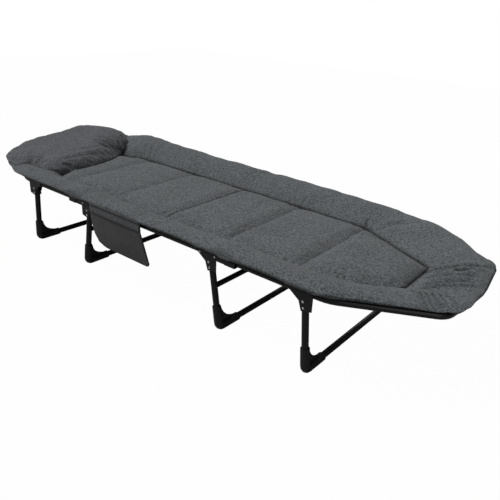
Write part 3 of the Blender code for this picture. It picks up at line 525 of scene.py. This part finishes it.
def nearest_on(line, x, y):
    """Distance from each (x, y) to a polyline, and how far along it the nearest point lies."""
    along = length_along(line)
    best, at = np.full(np.shape(x), np.inf), np.zeros(np.shape(x))
    for start, a, b in zip(along, line, line[1:]):
        run = b - a
        t = np.clip(((x - a[0]) * run[0] + (y - a[1]) * run[1]) / (run @ run), 0, 1)
        off = np.hypot(x - a[0] - t * run[0], y - a[1] - t * run[1])
        at = np.where(off < best, start + t * np.linalg.norm(run), at)
        best = np.minimum(best, off)
    return best, at


def roll_top(s, peak, crest, widest, power):
    """Height of the roll across it: s is 0 at the pad's seam, peak at the crest and 1 at the widest line."""
    rising = VALLEY_Z + (crest - VALLEY_Z) * (1 - (1 - np.minimum(s / peak, 1)) ** ROLL_RAMP)
    past = np.clip((s - peak) / (1 - peak), 0, 1)
    return np.where(s < peak, rising, widest + (crest - widest) * (1 - past ** power) ** (1 / power))


# Wrinkles


def soft_noise(x, y, scale, seed):
    """Smooth noise, about -1 to 1, with this many waves a metre."""
    return np.array([noise.noise(Vector((scale * a, scale * b, seed))) for a, b in zip(x, y)])


def crease(x, y, points, depth, width, fade=0.12):
    """A sharp valley along a line of points, with a soft ridge on each side."""
    line = np.array(points, float)
    off, at = nearest_on(line, x, y)
    share = at / length_along(line)[-1]
    ends = np.clip(share / fade, 0, 1) * np.clip((1 - share) / fade, 0, 1)
    across = np.exp(-np.abs(off / width) ** 1.3) - 0.45 * np.exp(-((off - 2.6 * width) / (1.4 * width)) ** 2)
    return -depth * ends * across


def crease_shade(creases, x, y, spread):
    """Darkness at the bottom of the creases, where little light reaches, fading from their first points."""
    found = np.zeros(np.shape(x))
    for points, _, width, dark in creases:
        line = np.array(points, float)
        start = np.hypot(x - line[0, 0], y - line[0, 1])
        fading = np.clip(1 - start / np.linalg.norm(line[-1] - line[0]), 0, 1)
        found += dark * fading * np.exp(-(nearest_on(line, x, y)[0] / (spread * width)) ** 2)
    return found


def wrinkles(x, y):
    """How far the cloth of the roll stands off its smooth shape."""
    found = 0.0017 * soft_noise(x, y, 8.0, 3.1) + 0.0018 * soft_noise(x, y, 21.0, 7.7)
    found += 0.0012 * soft_noise(0.45 * x, y, 46.0, 5.5)
    for points, depth, width, _ in CREASES:
        found += crease(x, y, points, depth, width)
    return found


# Meshes


def new_object(name, data):
    """An object in the scene with this data."""
    thing = bpy.data.objects.new(name, data)
    bpy.context.scene.collection.objects.link(thing)
    return thing


def make_object(name, points, faces, materials, shade=None):
    """A mesh object. Shade, from 0 to 1 at each point, is painted shade: how far its cloth's colour darkens
    where seams, creases, gaps and undersides lie in shadow.
    """
    mesh = bpy.data.meshes.new(name)
    mesh.from_pydata([tuple(map(float, p)) for p in points], [], faces)
    for material in materials:
        mesh.materials.append(material)
    if shade is not None:
        # The painted shade is kept in the point attribute named "seam".
        mesh.attributes.new("seam", "FLOAT", "POINT").data.foreach_set("value", np.asarray(shade, float))
    mesh.shade_smooth()
    thing = new_object(name, mesh)
    fix_normals(thing)
    return thing


def fix_normals(thing):
    """Turns the faces outward and keeps the edges of large end faces sharp."""
    bm = bmesh.new()
    bm.from_mesh(thing.data)
    bmesh.ops.recalc_face_normals(bm, faces=bm.faces)
    for face in bm.faces:
        if len(face.verts) > 8:
            for edge in face.edges:
                edge.smooth = False
    bm.to_mesh(thing.data)
    bm.free()


def loops_to_faces(rows, columns, closed=True):
    """Quads between the rows of a grid, whose rows close on themselves unless said otherwise."""
    span = columns if closed else columns - 1
    faces = []
    for i in range(rows - 1):
        for j in range(span):
            k = (j + 1) % columns
            faces.append((i * columns + j, (i + 1) * columns + j, (i + 1) * columns + k, i * columns + k))
    return faces


def capped_loops(rows, columns):
    """Faces of a tube of closed rows, with one face over each end."""
    last = (rows - 1) * columns
    ends = [tuple(range(columns)), tuple(reversed(range(last, last + columns)))]
    return loops_to_faces(rows, columns) + ends


# Roll and pad


def tunnel_size(x, spans, fold_x):
    """Half width, height and squareness of the hollow under the roll, which the tube and brackets fill."""

    def between(low, high, inner, outer):
        return eased(x, low - outer, low - inner) * (1 - eased(x, high + inner, high + outer))

    bracket = np.zeros_like(x)
    for low, high in spans:
        bracket = np.maximum(bracket, between(low, high, 0.005, 0.014))
    hinge = between(fold_x, fold_x, 0.013, 0.024)
    width = TUNNEL + (TUNNEL_BRACKET - TUNNEL) * bracket
    width = width + (TUNNEL_HINGE[0] - width) * hinge
    height = TUNNEL + (TUNNEL_HINGE[1] - TUNNEL) * hinge
    return width, height, 2 + 2 * np.maximum(bracket, hinge)


def roll_half(cover, rail_z, spans, fold_x, cloth_top):
    """Closed cross-sections of the roll from the near side round the end to the far side."""
    size = np.array([cover.sign, 1])
    edge, out, border, line = (v * size for v in (cover.edge, cover.out, cover.border, cover.line))
    width, height, power = tunnel_size(np.abs(line[:, 0]), spans, fold_x)
    hem, peak = cover.hem, cover.peak
    height = np.maximum(height, hem - rail_z + HOLLOW_ABOVE_HEM)
    hump = np.exp(-(np.abs(np.abs(line[:, 0]) - fold_x) / HUMP_REACH) ** 3) * cover.near
    crest = cover.crest + HINGE_HUMP * hump
    widest = hem + (crest - hem) * WIDEST_SHARE
    rows = []
    rise, fall = np.linspace(0, 1, RISE_ROWS), np.linspace(0, math.pi / 2, FALL_ROWS + 1)[1:]
    s_values = [peak * share for share in rise] + [peak + (1 - peak) * math.sin(turn) for turn in fall]
    for s in s_values:
        xy = border + (edge - border) * s[:, None]
        z = roll_top(s, peak, crest, widest, 2 + 2 * hump)
        mask = np.clip(s / 0.05, 0, 1) * np.clip((1 - s) / 0.1, 0, 1)
        z = np.maximum(z + mask * wrinkles(xy[:, 0], xy[:, 1]), cloth_top + ROLL_LEAST)
        rows.append(np.column_stack([xy, z]))

    def hollow_angle(z):
        return np.arcsin(np.clip((z - rail_z) / height, 0, 0.999) ** (power / 2))

    start = hollow_angle(hem + CLOTH_WALL)
    hem_out = width * np.cos(start) ** (2 / power) + HEM_LAP
    hem_out = np.minimum(hem_out, cover.reach - CLOTH_WALL / 2)
    for turn in np.linspace(0, math.pi / 2, SIDE_ROWS + 1)[1:]:
        off = hem_out + (cover.reach - hem_out) * math.cos(turn)
        z = widest - (widest - hem) * math.sin(turn)
        rows.append(np.column_stack([line + out * off[:, None], z]))
    last = math.pi - hollow_angle(cloth_top + ROLL_FLOOR)
    for share in np.linspace(0, 1, HOLLOW_ROWS):
        angle = start + (last - start) * share
        off = width * np.sign(np.cos(angle)) * np.abs(np.cos(angle)) ** (2 / power)
        off = np.minimum(off, hem_out - CLOTH_WALL)
        z = rail_z + height * np.abs(np.sin(angle)) ** (2 / power)
        rows.append(np.column_stack([line + out * off[:, None], z]))
    floor = np.full(len(line), cloth_top + ROLL_FLOOR)
    rows.append(np.column_stack([line - out * (width + 0.001)[:, None], floor]))
    rows.append(np.column_stack([border, floor]))
    grid = np.stack(rows, axis=1)
    count, ring = grid.shape[:2]
    points = grid.reshape(-1, 3)
    x, y = points[:, 0], points[:, 1]
    top = np.tile(np.arange(ring) < len(s_values), count)
    # Painted shade: a dark line along the pad's sewn edge, shade in the creases, and the roll's underside
    # darkening towards the hem as it turns under.
    from_border = np.linalg.norm(grid[:, :, :2] - grid[:, :1, :2], axis=2).ravel()
    shade = border_shade(np.repeat(cover.near, ring), x) * np.exp(-(from_border / 0.0062) ** 2)
    shade += crease_shade(CREASES, x, y, 0.7)
    under = np.tile(np.clip((np.arange(ring) - len(s_values) + 1) / SIDE_ROWS, 0, 1), count)
    return points, capped_loops(count, ring), np.clip(shade * top + UNDER_ROLL_SHADE * under * ~top, 0, 1)


def border_shade(near, x):
    """Painted shade along the pad's sewn edge, where its valley lies in shadow; softer along the near side.
    """
    return np.where(near & (np.abs(x) < PAD_END_X - 0.010), SOFT_EDGE_SHADE, SEWN_EDGE_SHADE)


def pad_side(cover, x, side):
    """Half the width of the pad on one side, at distances x from the middle of the bed."""
    return np.interp(x, *zip(*PAD_BORDER[cover.end][side][:4]))


def pad_outline(cover):
    """The pad's sewn edge as one line, near side first."""
    near, far = cover.borders
    return np.vstack([near * np.array([1, -1]), far[::-1]])


def seam_distance(x):
    """Distance along the bed to the nearest of the pad's five cross seams."""
    return np.abs(x - SEAM_PITCH * np.clip(np.round(x / SEAM_PITCH), -2, 2))


def seam_share(x):
    """How strongly the cross seam near each place is drawn down: less and less towards the head."""
    return np.clip((x + 0.40) / 0.80, 0.30, 1.0)


def pad_height(x, y, outline):
    """Top of the quilted pad: crowned panels drawn down at the border and at the cross seams."""
    border = nearest_on(outline, np.abs(x), y)[0]
    puffed = 1 - (1 - np.clip(border / BORDER_REACH, 0, 1)) ** 2.2
    seam = seam_distance(x)
    dip = SEAM_DEPTH * seam_share(x) * (1 - np.clip(seam / SEAM_REACH, 0, 1)) ** 2.4
    pucker = np.exp(-seam / 0.022)
    ripple = 0.0010 * soft_noise(x, y, 14.0, 1.3) + 0.0016 * soft_noise(0.35 * x, y, 42.0, 4.2) * pucker
    return VALLEY_Z + PAD_CROWN * puffed - dip * puffed + ripple * puffed


def pad_half(cover, cloth_top):
    """The quilted pad as a closed slab, from the middle seam to one end."""
    xs = np.linspace(0, PAD_END_X, round(PAD_END_X / PAD_STEP) + 1)
    across = np.linspace(-1, 1, PAD_COLUMNS)
    across = np.sign(across) * (1 - (1 - np.abs(across)) ** 1.3)
    x, v = np.meshgrid(xs, across, indexing="ij")
    reach = np.where(v < 0, pad_side(cover, x, "near"), pad_side(cover, x, "far")) + PAD_LAP
    x, y = x.ravel(), (v * reach).ravel()
    outline = pad_outline(cover)
    step = np.linalg.norm(np.diff(outline, axis=0), axis=1) > 1e-9
    outline = outline[np.concatenate([[True], step])]
    top = np.column_stack([cover.sign * x, y, pad_height(cover.sign * x, y, outline)])
    low = np.column_stack([cover.sign * x, y, np.full(len(x), cloth_top + PAD_FLOOR)])
    # Painted shade along the pad's sewn edge and its cross seams, where the valleys lie in shadow, and on the
    # foot's pad darkening towards its end.
    shade = border_shade(y < 0, x) * np.exp(-(nearest_on(outline, x, y)[0] / 0.0050) ** 2)
    shade += CROSS_SEAM_SHADE * seam_share(cover.sign * x) * np.exp(-(seam_distance(x) / 0.0030) ** 2)
    if cover.end == "foot":
        shade += 0.16 * np.exp(-((x - PAD_END_X) / 0.060) ** 2)
    shade = np.concatenate([np.clip(shade, 0, 1), np.zeros(len(x))])
    return (*closed_slab(top, low, len(xs), len(across)), shade)


def closed_slab(top, low, rows, columns):
    """Points and faces of a slab whose top and underside are one grid each."""
    offset = rows * columns
    faces = loops_to_faces(rows, columns, closed=False)
    faces += [tuple(offset + i for i in reversed(f)) for f in faces]
    rim = [i * columns for i in range(rows)]
    rim += [(rows - 1) * columns + j for j in range(1, columns)]
    rim += [i * columns + columns - 1 for i in range(rows - 2, -1, -1)]
    rim += [j for j in range(columns - 2, 0, -1)]
    for a, b in zip(rim, rim[1:] + rim[:1]):
        faces.append((a, b, b + offset, a + offset))
    return np.vstack([top, low]), faces


# Pillow


def closed_curve(points, count):
    """A smooth closed line through some points."""
    p = np.array(points, float)
    n = len(p)
    found = []
    for k in range(count):
        t = n * k / count
        i, f = int(t) % n, t - int(t)
        a, b, c, d = p[i - 1], p[i], p[(i + 1) % n], p[(i + 2) % n]
        second, third = 2 * a - 5 * b + 4 * c - d, 3 * b - a - 3 * c + d
        found.append(0.5 * (2 * b + (c - a) * f + second * f ** 2 + third * f ** 3))
    return np.array(found)


def pillow_top(x, y):
    """Height of the filled pillow away from its seam: a smooth surface through PILLOW_TOPS."""
    known = np.array(PILLOW_TOPS)

    def bend(squared):
        return squared * np.log(squared + 1e-9)

    def flat(a, b):
        return np.column_stack([np.ones(len(a)), a, b])

    apart = (known[:, None, 0] - known[:, 0]) ** 2 + (known[:, None, 1] - known[:, 1]) ** 2
    count = len(known)
    matrix = np.zeros((count + 3, count + 3))
    matrix[:count, :count] = bend(apart) + 2e-4 * np.eye(count)
    matrix[:count, count:] = flat(known[:, 0], known[:, 1])
    matrix[count:, :count] = matrix[:count, count:].T
    solved = np.linalg.solve(matrix, np.concatenate([known[:, 2], np.zeros(3)]))
    away = (x[:, None] - known[:, 0]) ** 2 + (y[:, None] - known[:, 1]) ** 2
    return bend(away) @ solved[:count] + flat(x, y) @ solved[count:]


def pillow_shape():
    """Grid over the pillow: plan, seam height under each point, and how far in from the seam it is."""
    edge = closed_curve(PILLOW_EDGE, 600)
    centre = np.array(PILLOW_CENTRE)
    angles = np.arctan2(edge[:, 1] - centre[1], edge[:, 0] - centre[0])
    order = np.argsort(angles)
    radii = np.linalg.norm(edge[:, :2] - centre, axis=1)[order]
    heights, angles = edge[order, 2], angles[order]
    side = np.linspace(-1, 1, PILLOW_CELLS + 1)
    side = np.sign(side) * (1 - (1 - np.abs(side)) ** 1.35)
    u, v = np.meshgrid(side, side, indexing="ij")
    dx, dy = u * np.sqrt(1 - v ** 2 / 2), v * np.sqrt(1 - u ** 2 / 2)
    r, a = np.hypot(dx, dy).ravel(), np.arctan2(dy, dx).ravel()
    reach = np.interp(a, angles, radii, period=2 * math.pi)
    seam = np.interp(a, angles, heights, period=2 * math.pi)
    x = centre[0] + r * reach * np.cos(a)
    y = centre[1] + r * reach * np.sin(a)
    return x, y, seam, (1 - r) * reach


def pillow_piece(material):
    """A filled case, sewn to the cover round its edge."""
    x, y, seam, inset = pillow_shape()
    full = (1 - (1 - np.clip(inset / PILLOW_SIDE, 0, 1)) ** 2.2) ** 0.62
    top = seam + (pillow_top(x, y) - seam) * full
    fading = np.clip(inset / 0.012, 0, 1)
    top += fading * (0.0012 * soft_noise(x, y, 12.0, 9.1) + 0.0008 * soft_noise(x, y, 30.0, 2.2))
    for points, depth, width, _ in PILLOW_CREASES:
        top += np.clip(inset / 0.003, 0, 1) * crease(x, y, points, depth, width, 0.15)
    low = np.where(inset > 0.004, VALLEY_Z, seam - 0.006)
    low = np.minimum(low, seam - 0.0035)
    rows = PILLOW_CELLS + 1
    points, faces = closed_slab(np.column_stack([x, y, top]), np.column_stack([x, y, low]), rows, rows)
    # Painted shade: a dark line along the pillow's front seam, fading towards its near corner, shadow under
    # its edge where it stands above the cover, and shade in its creases.
    towards_far = 0.15 + 0.85 * eased(y, -0.200, -0.060)
    front = 1.1 * np.exp(-(inset / 0.0034) ** 2) * eased(x, -0.760, -0.735) * towards_far
    under = (inset < 0.012) * eased(x, -0.760, -0.720) * towards_far
    shade = np.concatenate([np.clip(front + crease_shade(PILLOW_CREASES, x, y, 0.8), 0, 1), under])
    pillow = make_object("pillow_case", points, faces, [material], shade)
    settle(pillow, np.concatenate([inset < 0.004, np.ones(rows * rows, bool)]), "pillow")
    return pillow


# Cloth simulation


def settle(piece, held, kind):
    """Blows the piece's cloth up like wadding, with the held points sewn down, and keeps the last shape."""
    cap, slack = SETTLE[kind]
    group = piece.vertex_groups.new(name="sewn_down")
    group.add([int(i) for i in np.flatnonzero(held)], 1.0, "REPLACE")
    cloth = piece.modifiers.new("wadding", "CLOTH")
    settings = cloth.settings
    settings.vertex_group_mass = "sewn_down"
    settings.quality = 5
    settings.mass = 0.2
    settings.tension_stiffness = 15
    settings.compression_stiffness = 15
    settings.shear_stiffness = 5
    settings.bending_stiffness = 0.1
    settings.air_damping = 4
    settings.shrink_min = -slack
    settings.use_pressure = True
    settings.uniform_pressure_force = PRESSURE
    settings.effector_weights.gravity = 0
    cloth.collision_settings.use_collision = False
    cloth.point_cache.frame_start = 1
    cloth.point_cache.frame_end = FRAMES
    scene = bpy.context.scene
    for number in range(1, FRAMES + 1):
        scene.frame_set(number)
    before = np.array([v.co for v in piece.data.vertices])
    graph = bpy.context.evaluated_depsgraph_get()
    shaped = piece.evaluated_get(graph).to_mesh()
    moved = np.array([v.co for v in shaped.vertices]) - before
    far = np.linalg.norm(moved, axis=1)
    moved *= (cap * np.tanh(far / cap) / np.maximum(far, 1e-9))[:, None]
    moved[held] = 0
    piece.modifiers.remove(cloth)
    piece.vertex_groups.remove(group)
    piece.data.vertices.foreach_set("co", (before + moved).ravel())
    piece.data.update()
    scene.frame_set(1)


# Pocket and bed cloths


def pocket_grid(low, high, rows, columns):
    """Grid over part of the pocket's height: x, z, and the shares across and up."""
    up = np.linspace(0, 1, rows) ** 0.9
    z = low + (high - low) * up
    left = np.interp(z, *zip(*POCKET_LEFT))
    right = np.interp(z, *zip(*POCKET_RIGHT))
    across = np.linspace(0, 1, columns)
    x = left[:, None] + (right - left)[:, None] * across
    return [np.broadcast_to(g, (rows, columns)).ravel() for g in (x, z[:, None], across, up[:, None])]


def thin_sheet(name, x, y, z, rows, columns, material, depth, shade=None):
    """A thin closed sheet: a grid of points, and the same grid moved by the depth."""
    front = np.column_stack([x, y, z])
    back = front + np.array(depth)
    points, faces = closed_slab(front, back, rows, columns)
    if shade is not None:
        shade = np.clip(np.tile(shade, 2), 0, 1)
    return make_object(name, points, faces, material, shade)


def pocket_pieces(grey, dark):
    """The pocket's back, whose top band is the cover's own cloth, and its bulging front."""
    back_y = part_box("pocket_back")[1].y
    rows, columns = 60, 100
    depth = (0, SHEET_THICKNESS, 0)
    x, z, across, _ = pocket_grid(POCKET_LOW_Z, POCKET_TOP_Z, rows, columns)
    y = back_y - SHEET_THICKNESS - 0.0006 * (1 + soft_noise(x, z, 22.0, 6.0))
    # Painted shade on the back: a light shade all over, a dark line along the seam under the roll, and dark
    # along the right end, where the gap beside the mouth lies in shadow.
    seam = 0.20 + 0.80 * np.exp(-((z - POCKET_SEAM_Z) / 0.0035) ** 2) + eased(across, 0.955, 0.975)
    back = thin_sheet("pocket_back_cloth", x, y, z, rows, columns, [dark, grey], depth, seam)
    corners = [[back.data.vertices[i].co.z for i in face.vertices] for face in back.data.polygons]
    slots = [int(sum(heights) / len(heights) > POCKET_MOUTH_Z + 0.001) for heights in corners]
    back.data.polygons.foreach_set("material_index", slots)
    x, z, across, up = pocket_grid(POCKET_LOW_Z, POCKET_MOUTH_Z, rows, columns)
    filled = (1 - (1 - np.clip(up / 0.5, 0, 1)) ** 2) * (1 - 0.35 * np.clip(up - 0.5, 0, 1) * 2)
    puffed = np.sin(math.pi * across) ** 0.5 * filled
    ripple = 0.0010 * soft_noise(x, z, 16.0, 8.8) + 0.0005 * soft_noise(x, z, 45.0, 1.8)
    y = back_y - 2.2 * SHEET_THICKNESS - 0.0006 - (POCKET_BULGE + ripple) * puffed
    # Painted shade along the front's mouth and side edges, where the gusset and the gap at the mouth lie in
    # shadow.
    bound = np.minimum(np.minimum(across, 1 - across) * 0.28, POCKET_MOUTH_Z - z)
    edge_shade = np.exp(-(bound / 0.0040) ** 2)
    front = thin_sheet("pocket_front_cloth", x, y, z, rows, columns, [dark], depth, edge_shade)
    return back, front


def bed_cloth(name, low_x, high_x, half_width, top, material):
    """A laced sheet under the padding, with a slight ripple."""
    rows, columns = 60, 50
    x = np.linspace(low_x, high_x, rows)
    y = np.linspace(-1, 1, columns)[None, :] * half_width(np.abs(x))[:, None]
    x = np.broadcast_to(x[:, None], y.shape).ravel()
    y = y.ravel()
    z = top - 0.0010 - 0.0005 * (1 + soft_noise(x, y, 12.0, 5.0))
    return thin_sheet(name, x, y, z, rows, columns, [material], (0, 0, -SHEET_THICKNESS))


# Rivets


def rivet(name, place, material):
    """A low domed rivet head facing the near or far side."""
    facing = -1 if place[1] < 0 else 1
    rings = [(1.0, 0.0), (1.0, 0.35), (0.92, 0.62), (0.72, 0.85), (0.42, 0.97)]
    count = 20
    turn = np.linspace(0, 2 * math.pi, count, endpoint=False)
    points = []
    for share, rise in rings:
        radius = share * RIVET_RADIUS
        for a in turn:
            points.append((place[0] + radius * math.cos(a), place[1] + facing * rise * RIVET_RISE,
                           place[2] + radius * math.sin(a)))
    return make_object(name, points, capped_loops(len(rings), count), [material])


def cheek_rivets(material):
    """The rivets that hold the brackets to the rails, and the leg stops' rivets."""
    for end, sign in (("foot", 1), ("head", -1)):
        for kind, body in (("inner", "centre_section"), ("outer", f"{end}_section")):
            for side, facing in (("near", -1), ("far", 1)):
                low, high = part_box(f"{end}_{kind}_leg_pin_{side}")
                x, z = (low.x + high.x) / 2, (low.z + high.z) / 2
                bracket = "fold_bracket" if kind == "inner" else "leg_bracket"
                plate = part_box(f"{end}_{bracket}_{side}")
                cheek = plate[0].y if facing < 0 else plate[1].y
                spots = (RIVET_BELOW, *RIVETS_ABOVE) if kind == "inner" else (RIVET_BELOW,)
                for number, (dx, dz) in enumerate(spots):
                    place = (x + sign * dx, cheek, z + dz)
                    head = rivet(f"{end}_{kind}_rivet_{side}_{number}", place, material)
                    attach(head, body)


# Camera and light


def set_camera():
    """The camera fitted to the photograph."""
    yaw, pitch, roll = CAMERA_YAW, CAMERA_PITCH, CAMERA_ROLL
    forward = Vector((-math.sin(yaw) * math.cos(pitch), math.cos(yaw) * math.cos(pitch), -math.sin(pitch)))
    right = Vector((math.cos(yaw), math.sin(yaw), 0))
    up = right.cross(forward)
    right, up = (math.cos(roll) * right + math.sin(roll) * up, -math.sin(roll) * right + math.cos(roll) * up)
    data = bpy.data.cameras.new("photo_camera")
    data.sensor_width = 36
    data.lens = 36 * CAMERA_LENS_PX / PICTURE_PX
    data.clip_end = 50
    camera = new_object("photo_camera", data)
    turned = Matrix((right, up, -forward)).transposed().to_4x4()
    camera.matrix_world = Matrix.Translation(CAMERA_AT) @ turned
    bpy.context.scene.camera = camera


def stage_light(name, data, place, direction):
    """A lamp at its place, shining in one direction."""
    light = new_object(name, data)
    light.location = place
    light.rotation_euler = Vector(direction).to_track_quat("-Z", "Y").to_euler()


def area_light(name, place, target, size, power):
    """A soft lamp that looks from its place to its target."""
    data = bpy.data.lights.new(name, "AREA")
    data.shape = "RECTANGLE"
    data.size, data.size_y = size
    data.energy = power
    stage_light(name, data, place, Vector(target) - Vector(place))


def choose_shader(owner, share, first, second, output):
    """Two shaders mixed, with this share of the second, into the output."""
    choose = add(owner, "ShaderNodeMixShader")
    for source, target in ((share, 0), (first, 1), (second, 2)):
        link(owner, source, choose.inputs[target])
    link(owner, choose.outputs["Shader"], output.inputs["Surface"])


def pale_floor():
    """Matt white paper that the camera sees almost burnt out, with a faint shadow left on it."""
    material = new_material("studio_floor", 0.9)
    shader = shader_of(material)
    shader.inputs["Base Color"].default_value = (0.30, 0.30, 0.30, 1)
    glow = add(material, "ShaderNodeEmission", color=(1, 1, 1, 1), strength=1.0)
    path = add(material, "ShaderNodeLightPath")
    share = add(material, "ShaderNodeMath", operation="MULTIPLY")
    link(material, path.outputs["Is Camera Ray"], share.inputs[0])
    share.inputs[1].default_value = FLOOR_GLOW
    output = material.node_tree.nodes["Material Output"]
    choose_shader(material, share.outputs["Value"], shader.outputs["BSDF"], glow.outputs["Emission"], output)
    return material


def set_stage():
    """White studio: a pale floor that catches a soft shadow, and a white sky."""
    points = [(-6, -6, -0.0008), (6, -6, -0.0008), (6, 6, -0.0008), (-6, 6, -0.0008)]
    floor = make_object("studio_floor", points, [(0, 1, 2, 3)], [pale_floor()])
    world = bpy.data.worlds.new("studio")
    bpy.context.scene.world = world
    world.use_nodes = True
    world.node_tree.nodes.clear()
    shown = add(world, "ShaderNodeBackground", color=(1, 1, 1, 1), strength=1.0)
    lit = add(world, "ShaderNodeBackground", color=(1, 1, 1, 1), strength=SKY_STRENGTH)
    path = add(world, "ShaderNodeLightPath")
    output = add(world, "ShaderNodeOutputWorld")
    choose_shader(world, path.outputs["Is Camera Ray"], lit.outputs[0], shown.outputs[0], output)
    sun = bpy.data.lights.new("key", "SUN")
    sun.energy = KEY_STRENGTH
    sun.angle = KEY_ANGLE
    stage_light("key", sun, (0, 0, 0), KEY_DIRECTION)
    area_light("fill", (2.1, -1.4, 1.5), (0.4, 0, 0.2), (1.2, 1.2), 6)
    area_light("rim", (-0.4, 2.5, 1.3), (0.1, 0.2, 0.2), (2.6, 0.8), 9)
    bpy.context.scene.view_settings.view_transform = "Standard"


# Assembly


def paint_frame(frame, finishes):
    """Gives each shown CAD node its material."""
    for name, node in frame["nodes"].items():
        kind = "steel" if "_pin_" in name else "plastic" if "corner" in name else "paint"
        node.data.materials.clear()
        node.data.materials.append(finishes[kind])


def add_padding(cover, rail_z, spans, fold_x, cloth_top, cloths):
    """The roll and the pad of one end's half of the cover."""
    end, sign = cover.end, cover.sign
    points, faces, shade = roll_half(cover, rail_z, spans, fold_x, cloth_top)
    roll = make_object(f"{end}_roll", points, faces, cloths, shade)
    points, faces, shade = pad_half(cover, cloth_top)
    pad = make_object(f"{end}_pad", points, faces, cloths, shade)
    settle(roll, roll_held(roll, cover), "roll")
    settle(pad, pad_held(pad), "pad")
    for piece in (roll, pad):
        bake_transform(piece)
    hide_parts(f"{end}_cover", "centre_cover")


def places(piece):
    """Where the piece's points are."""
    found = np.empty(3 * len(piece.data.vertices), np.float32)
    piece.data.vertices.foreach_get("co", found)
    return found.reshape(-1, 3)


def roll_held(piece, cover):
    """Points of the roll that are sewn or drawn round the tube: seam, hem, hollow and middle cut."""
    at = places(piece)
    columns = len(at) // len(cover.run)
    column = np.tile(np.arange(columns), len(cover.run))
    hem = RISE_ROWS + FALL_ROWS + SIDE_ROWS - 1
    return (column < 1) | (column > hem - 2) | (np.abs(at[:, 0]) < 0.004)


def pad_held(piece):
    """Points of the pad that are sewn: its edge, its underside and its cross seams."""
    at = places(piece)
    half = len(at) // 2
    seam = seam_distance(at[:, 0]) < 0.003
    rim = np.abs(np.abs(at[:, 0]) - PAD_END_X) < 0.003
    low = np.arange(len(at)) >= half
    return seam | rim | low | (at[:, 2] < VALLEY_Z + 0.0012)


def add_cloths(cover, fold_x, cloth_top, cloth):
    """The laced sheets that carry the padding."""
    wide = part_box("centre_bed_cloth")[1].y
    half = np.column_stack([np.abs(cover.line[:, 0]), np.abs(cover.line[:, 1])])
    half = half[np.argsort(half[:, 0])]

    def end_width(x):
        return np.minimum(wide, np.interp(x, half[:, 0], half[:, 1]) - BED_CLOTH_IN)

    def full_width(x):
        return np.full(len(x), wide)

    return [(name, bed_cloth(f"{name}_sheet", low_x, high_x, width, cloth_top, cloth))
            for name, low_x, high_x, width in (
                ("centre_bed_cloth", -fold_x + BED_CLOTH_GAP, fold_x - BED_CLOTH_GAP, full_width),
                ("foot_bed_cloth", fold_x + BED_CLOTH_GAP, BED_CLOTH_END_X, end_width),
                ("head_bed_cloth", -BED_CLOTH_END_X, -fold_x - BED_CLOTH_GAP, end_width),
            )]


def main():
    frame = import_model()
    rail_low, rail_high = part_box("centre_rail_far")
    rail_y, rail_z = (rail_low.y + rail_high.y) / 2, (rail_low.z + rail_high.z) / 2
    tube_r = (rail_high.z - rail_low.z) / 2
    tip_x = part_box("foot_end_frame")[1].x - tube_r
    cloth_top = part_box("centre_bed_cloth")[1].z
    fold_x = rail_high.x
    fitted = ("foot_fold_bracket_far", "foot_leg_bracket_far", "foot_fold_leaf_far")
    spans = [(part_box(n)[0].x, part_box(n)[1].x) for n in fitted]

    finishes = {
        "paint": coated_metal("powder_coat", (0.006, 0.006, 0.0065), 0.32, 700),
        "plastic": coated_metal("corner_plastic", (0.009, 0.009, 0.0095), 0.50, 1500),
        "steel": bright_steel("rivet_steel_finish"),
    }
    paint_frame(frame, finishes)
    grey = heather_cloth("grey_heather", (0.020, 0.023, 0.025), (0.175, 0.189, 0.198), 0.085, 0.6)
    case_cloth = heather_cloth("pillow_heather", (0.019, 0.021, 0.024), (0.165, 0.173, 0.188), 0.085, 0.6)
    pocket_cloth = heather_cloth("pocket_cloth", (0.032, 0.031, 0.033), (0.062, 0.060, 0.064), 0.14, 0.25)
    under_cloth = heather_cloth("bed_cloth", (0.012, 0.012, 0.013), (0.020, 0.020, 0.022), 0.25, 0.25)

    covers = {end: Cover(end, rail_y, tip_x) for end in ("foot", "head")}
    for end in ("foot", "head"):
        add_padding(covers[end], rail_z, spans, fold_x, cloth_top, [grey])
    pillow = pillow_piece(case_cloth)
    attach(pillow, "head_section")
    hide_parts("pillow")
    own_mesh(pillow)

    back, front = pocket_pieces(grey, pocket_cloth)
    for piece, node, flat, area in (
        (back, "pocket_back", (0.287, 0.1395), 0.0345),
        (front, "pocket_front", (0.290, 0.112), 0.0270),
    ):
        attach(piece, "centre_section")
        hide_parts(node)
    for name, piece in add_cloths(covers["foot"], fold_x, cloth_top, under_cloth):
        body = name.replace("_bed_cloth", "_section")
        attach(piece, body)
        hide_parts(name)
        flat = (0.585, 0.674) if body == "centre_section" else (0.585, 0.566)
        area = None if body == "centre_section" else 0.275
    cheek_rivets(finishes["steel"])

    set_stage()
    set_camera()


main()
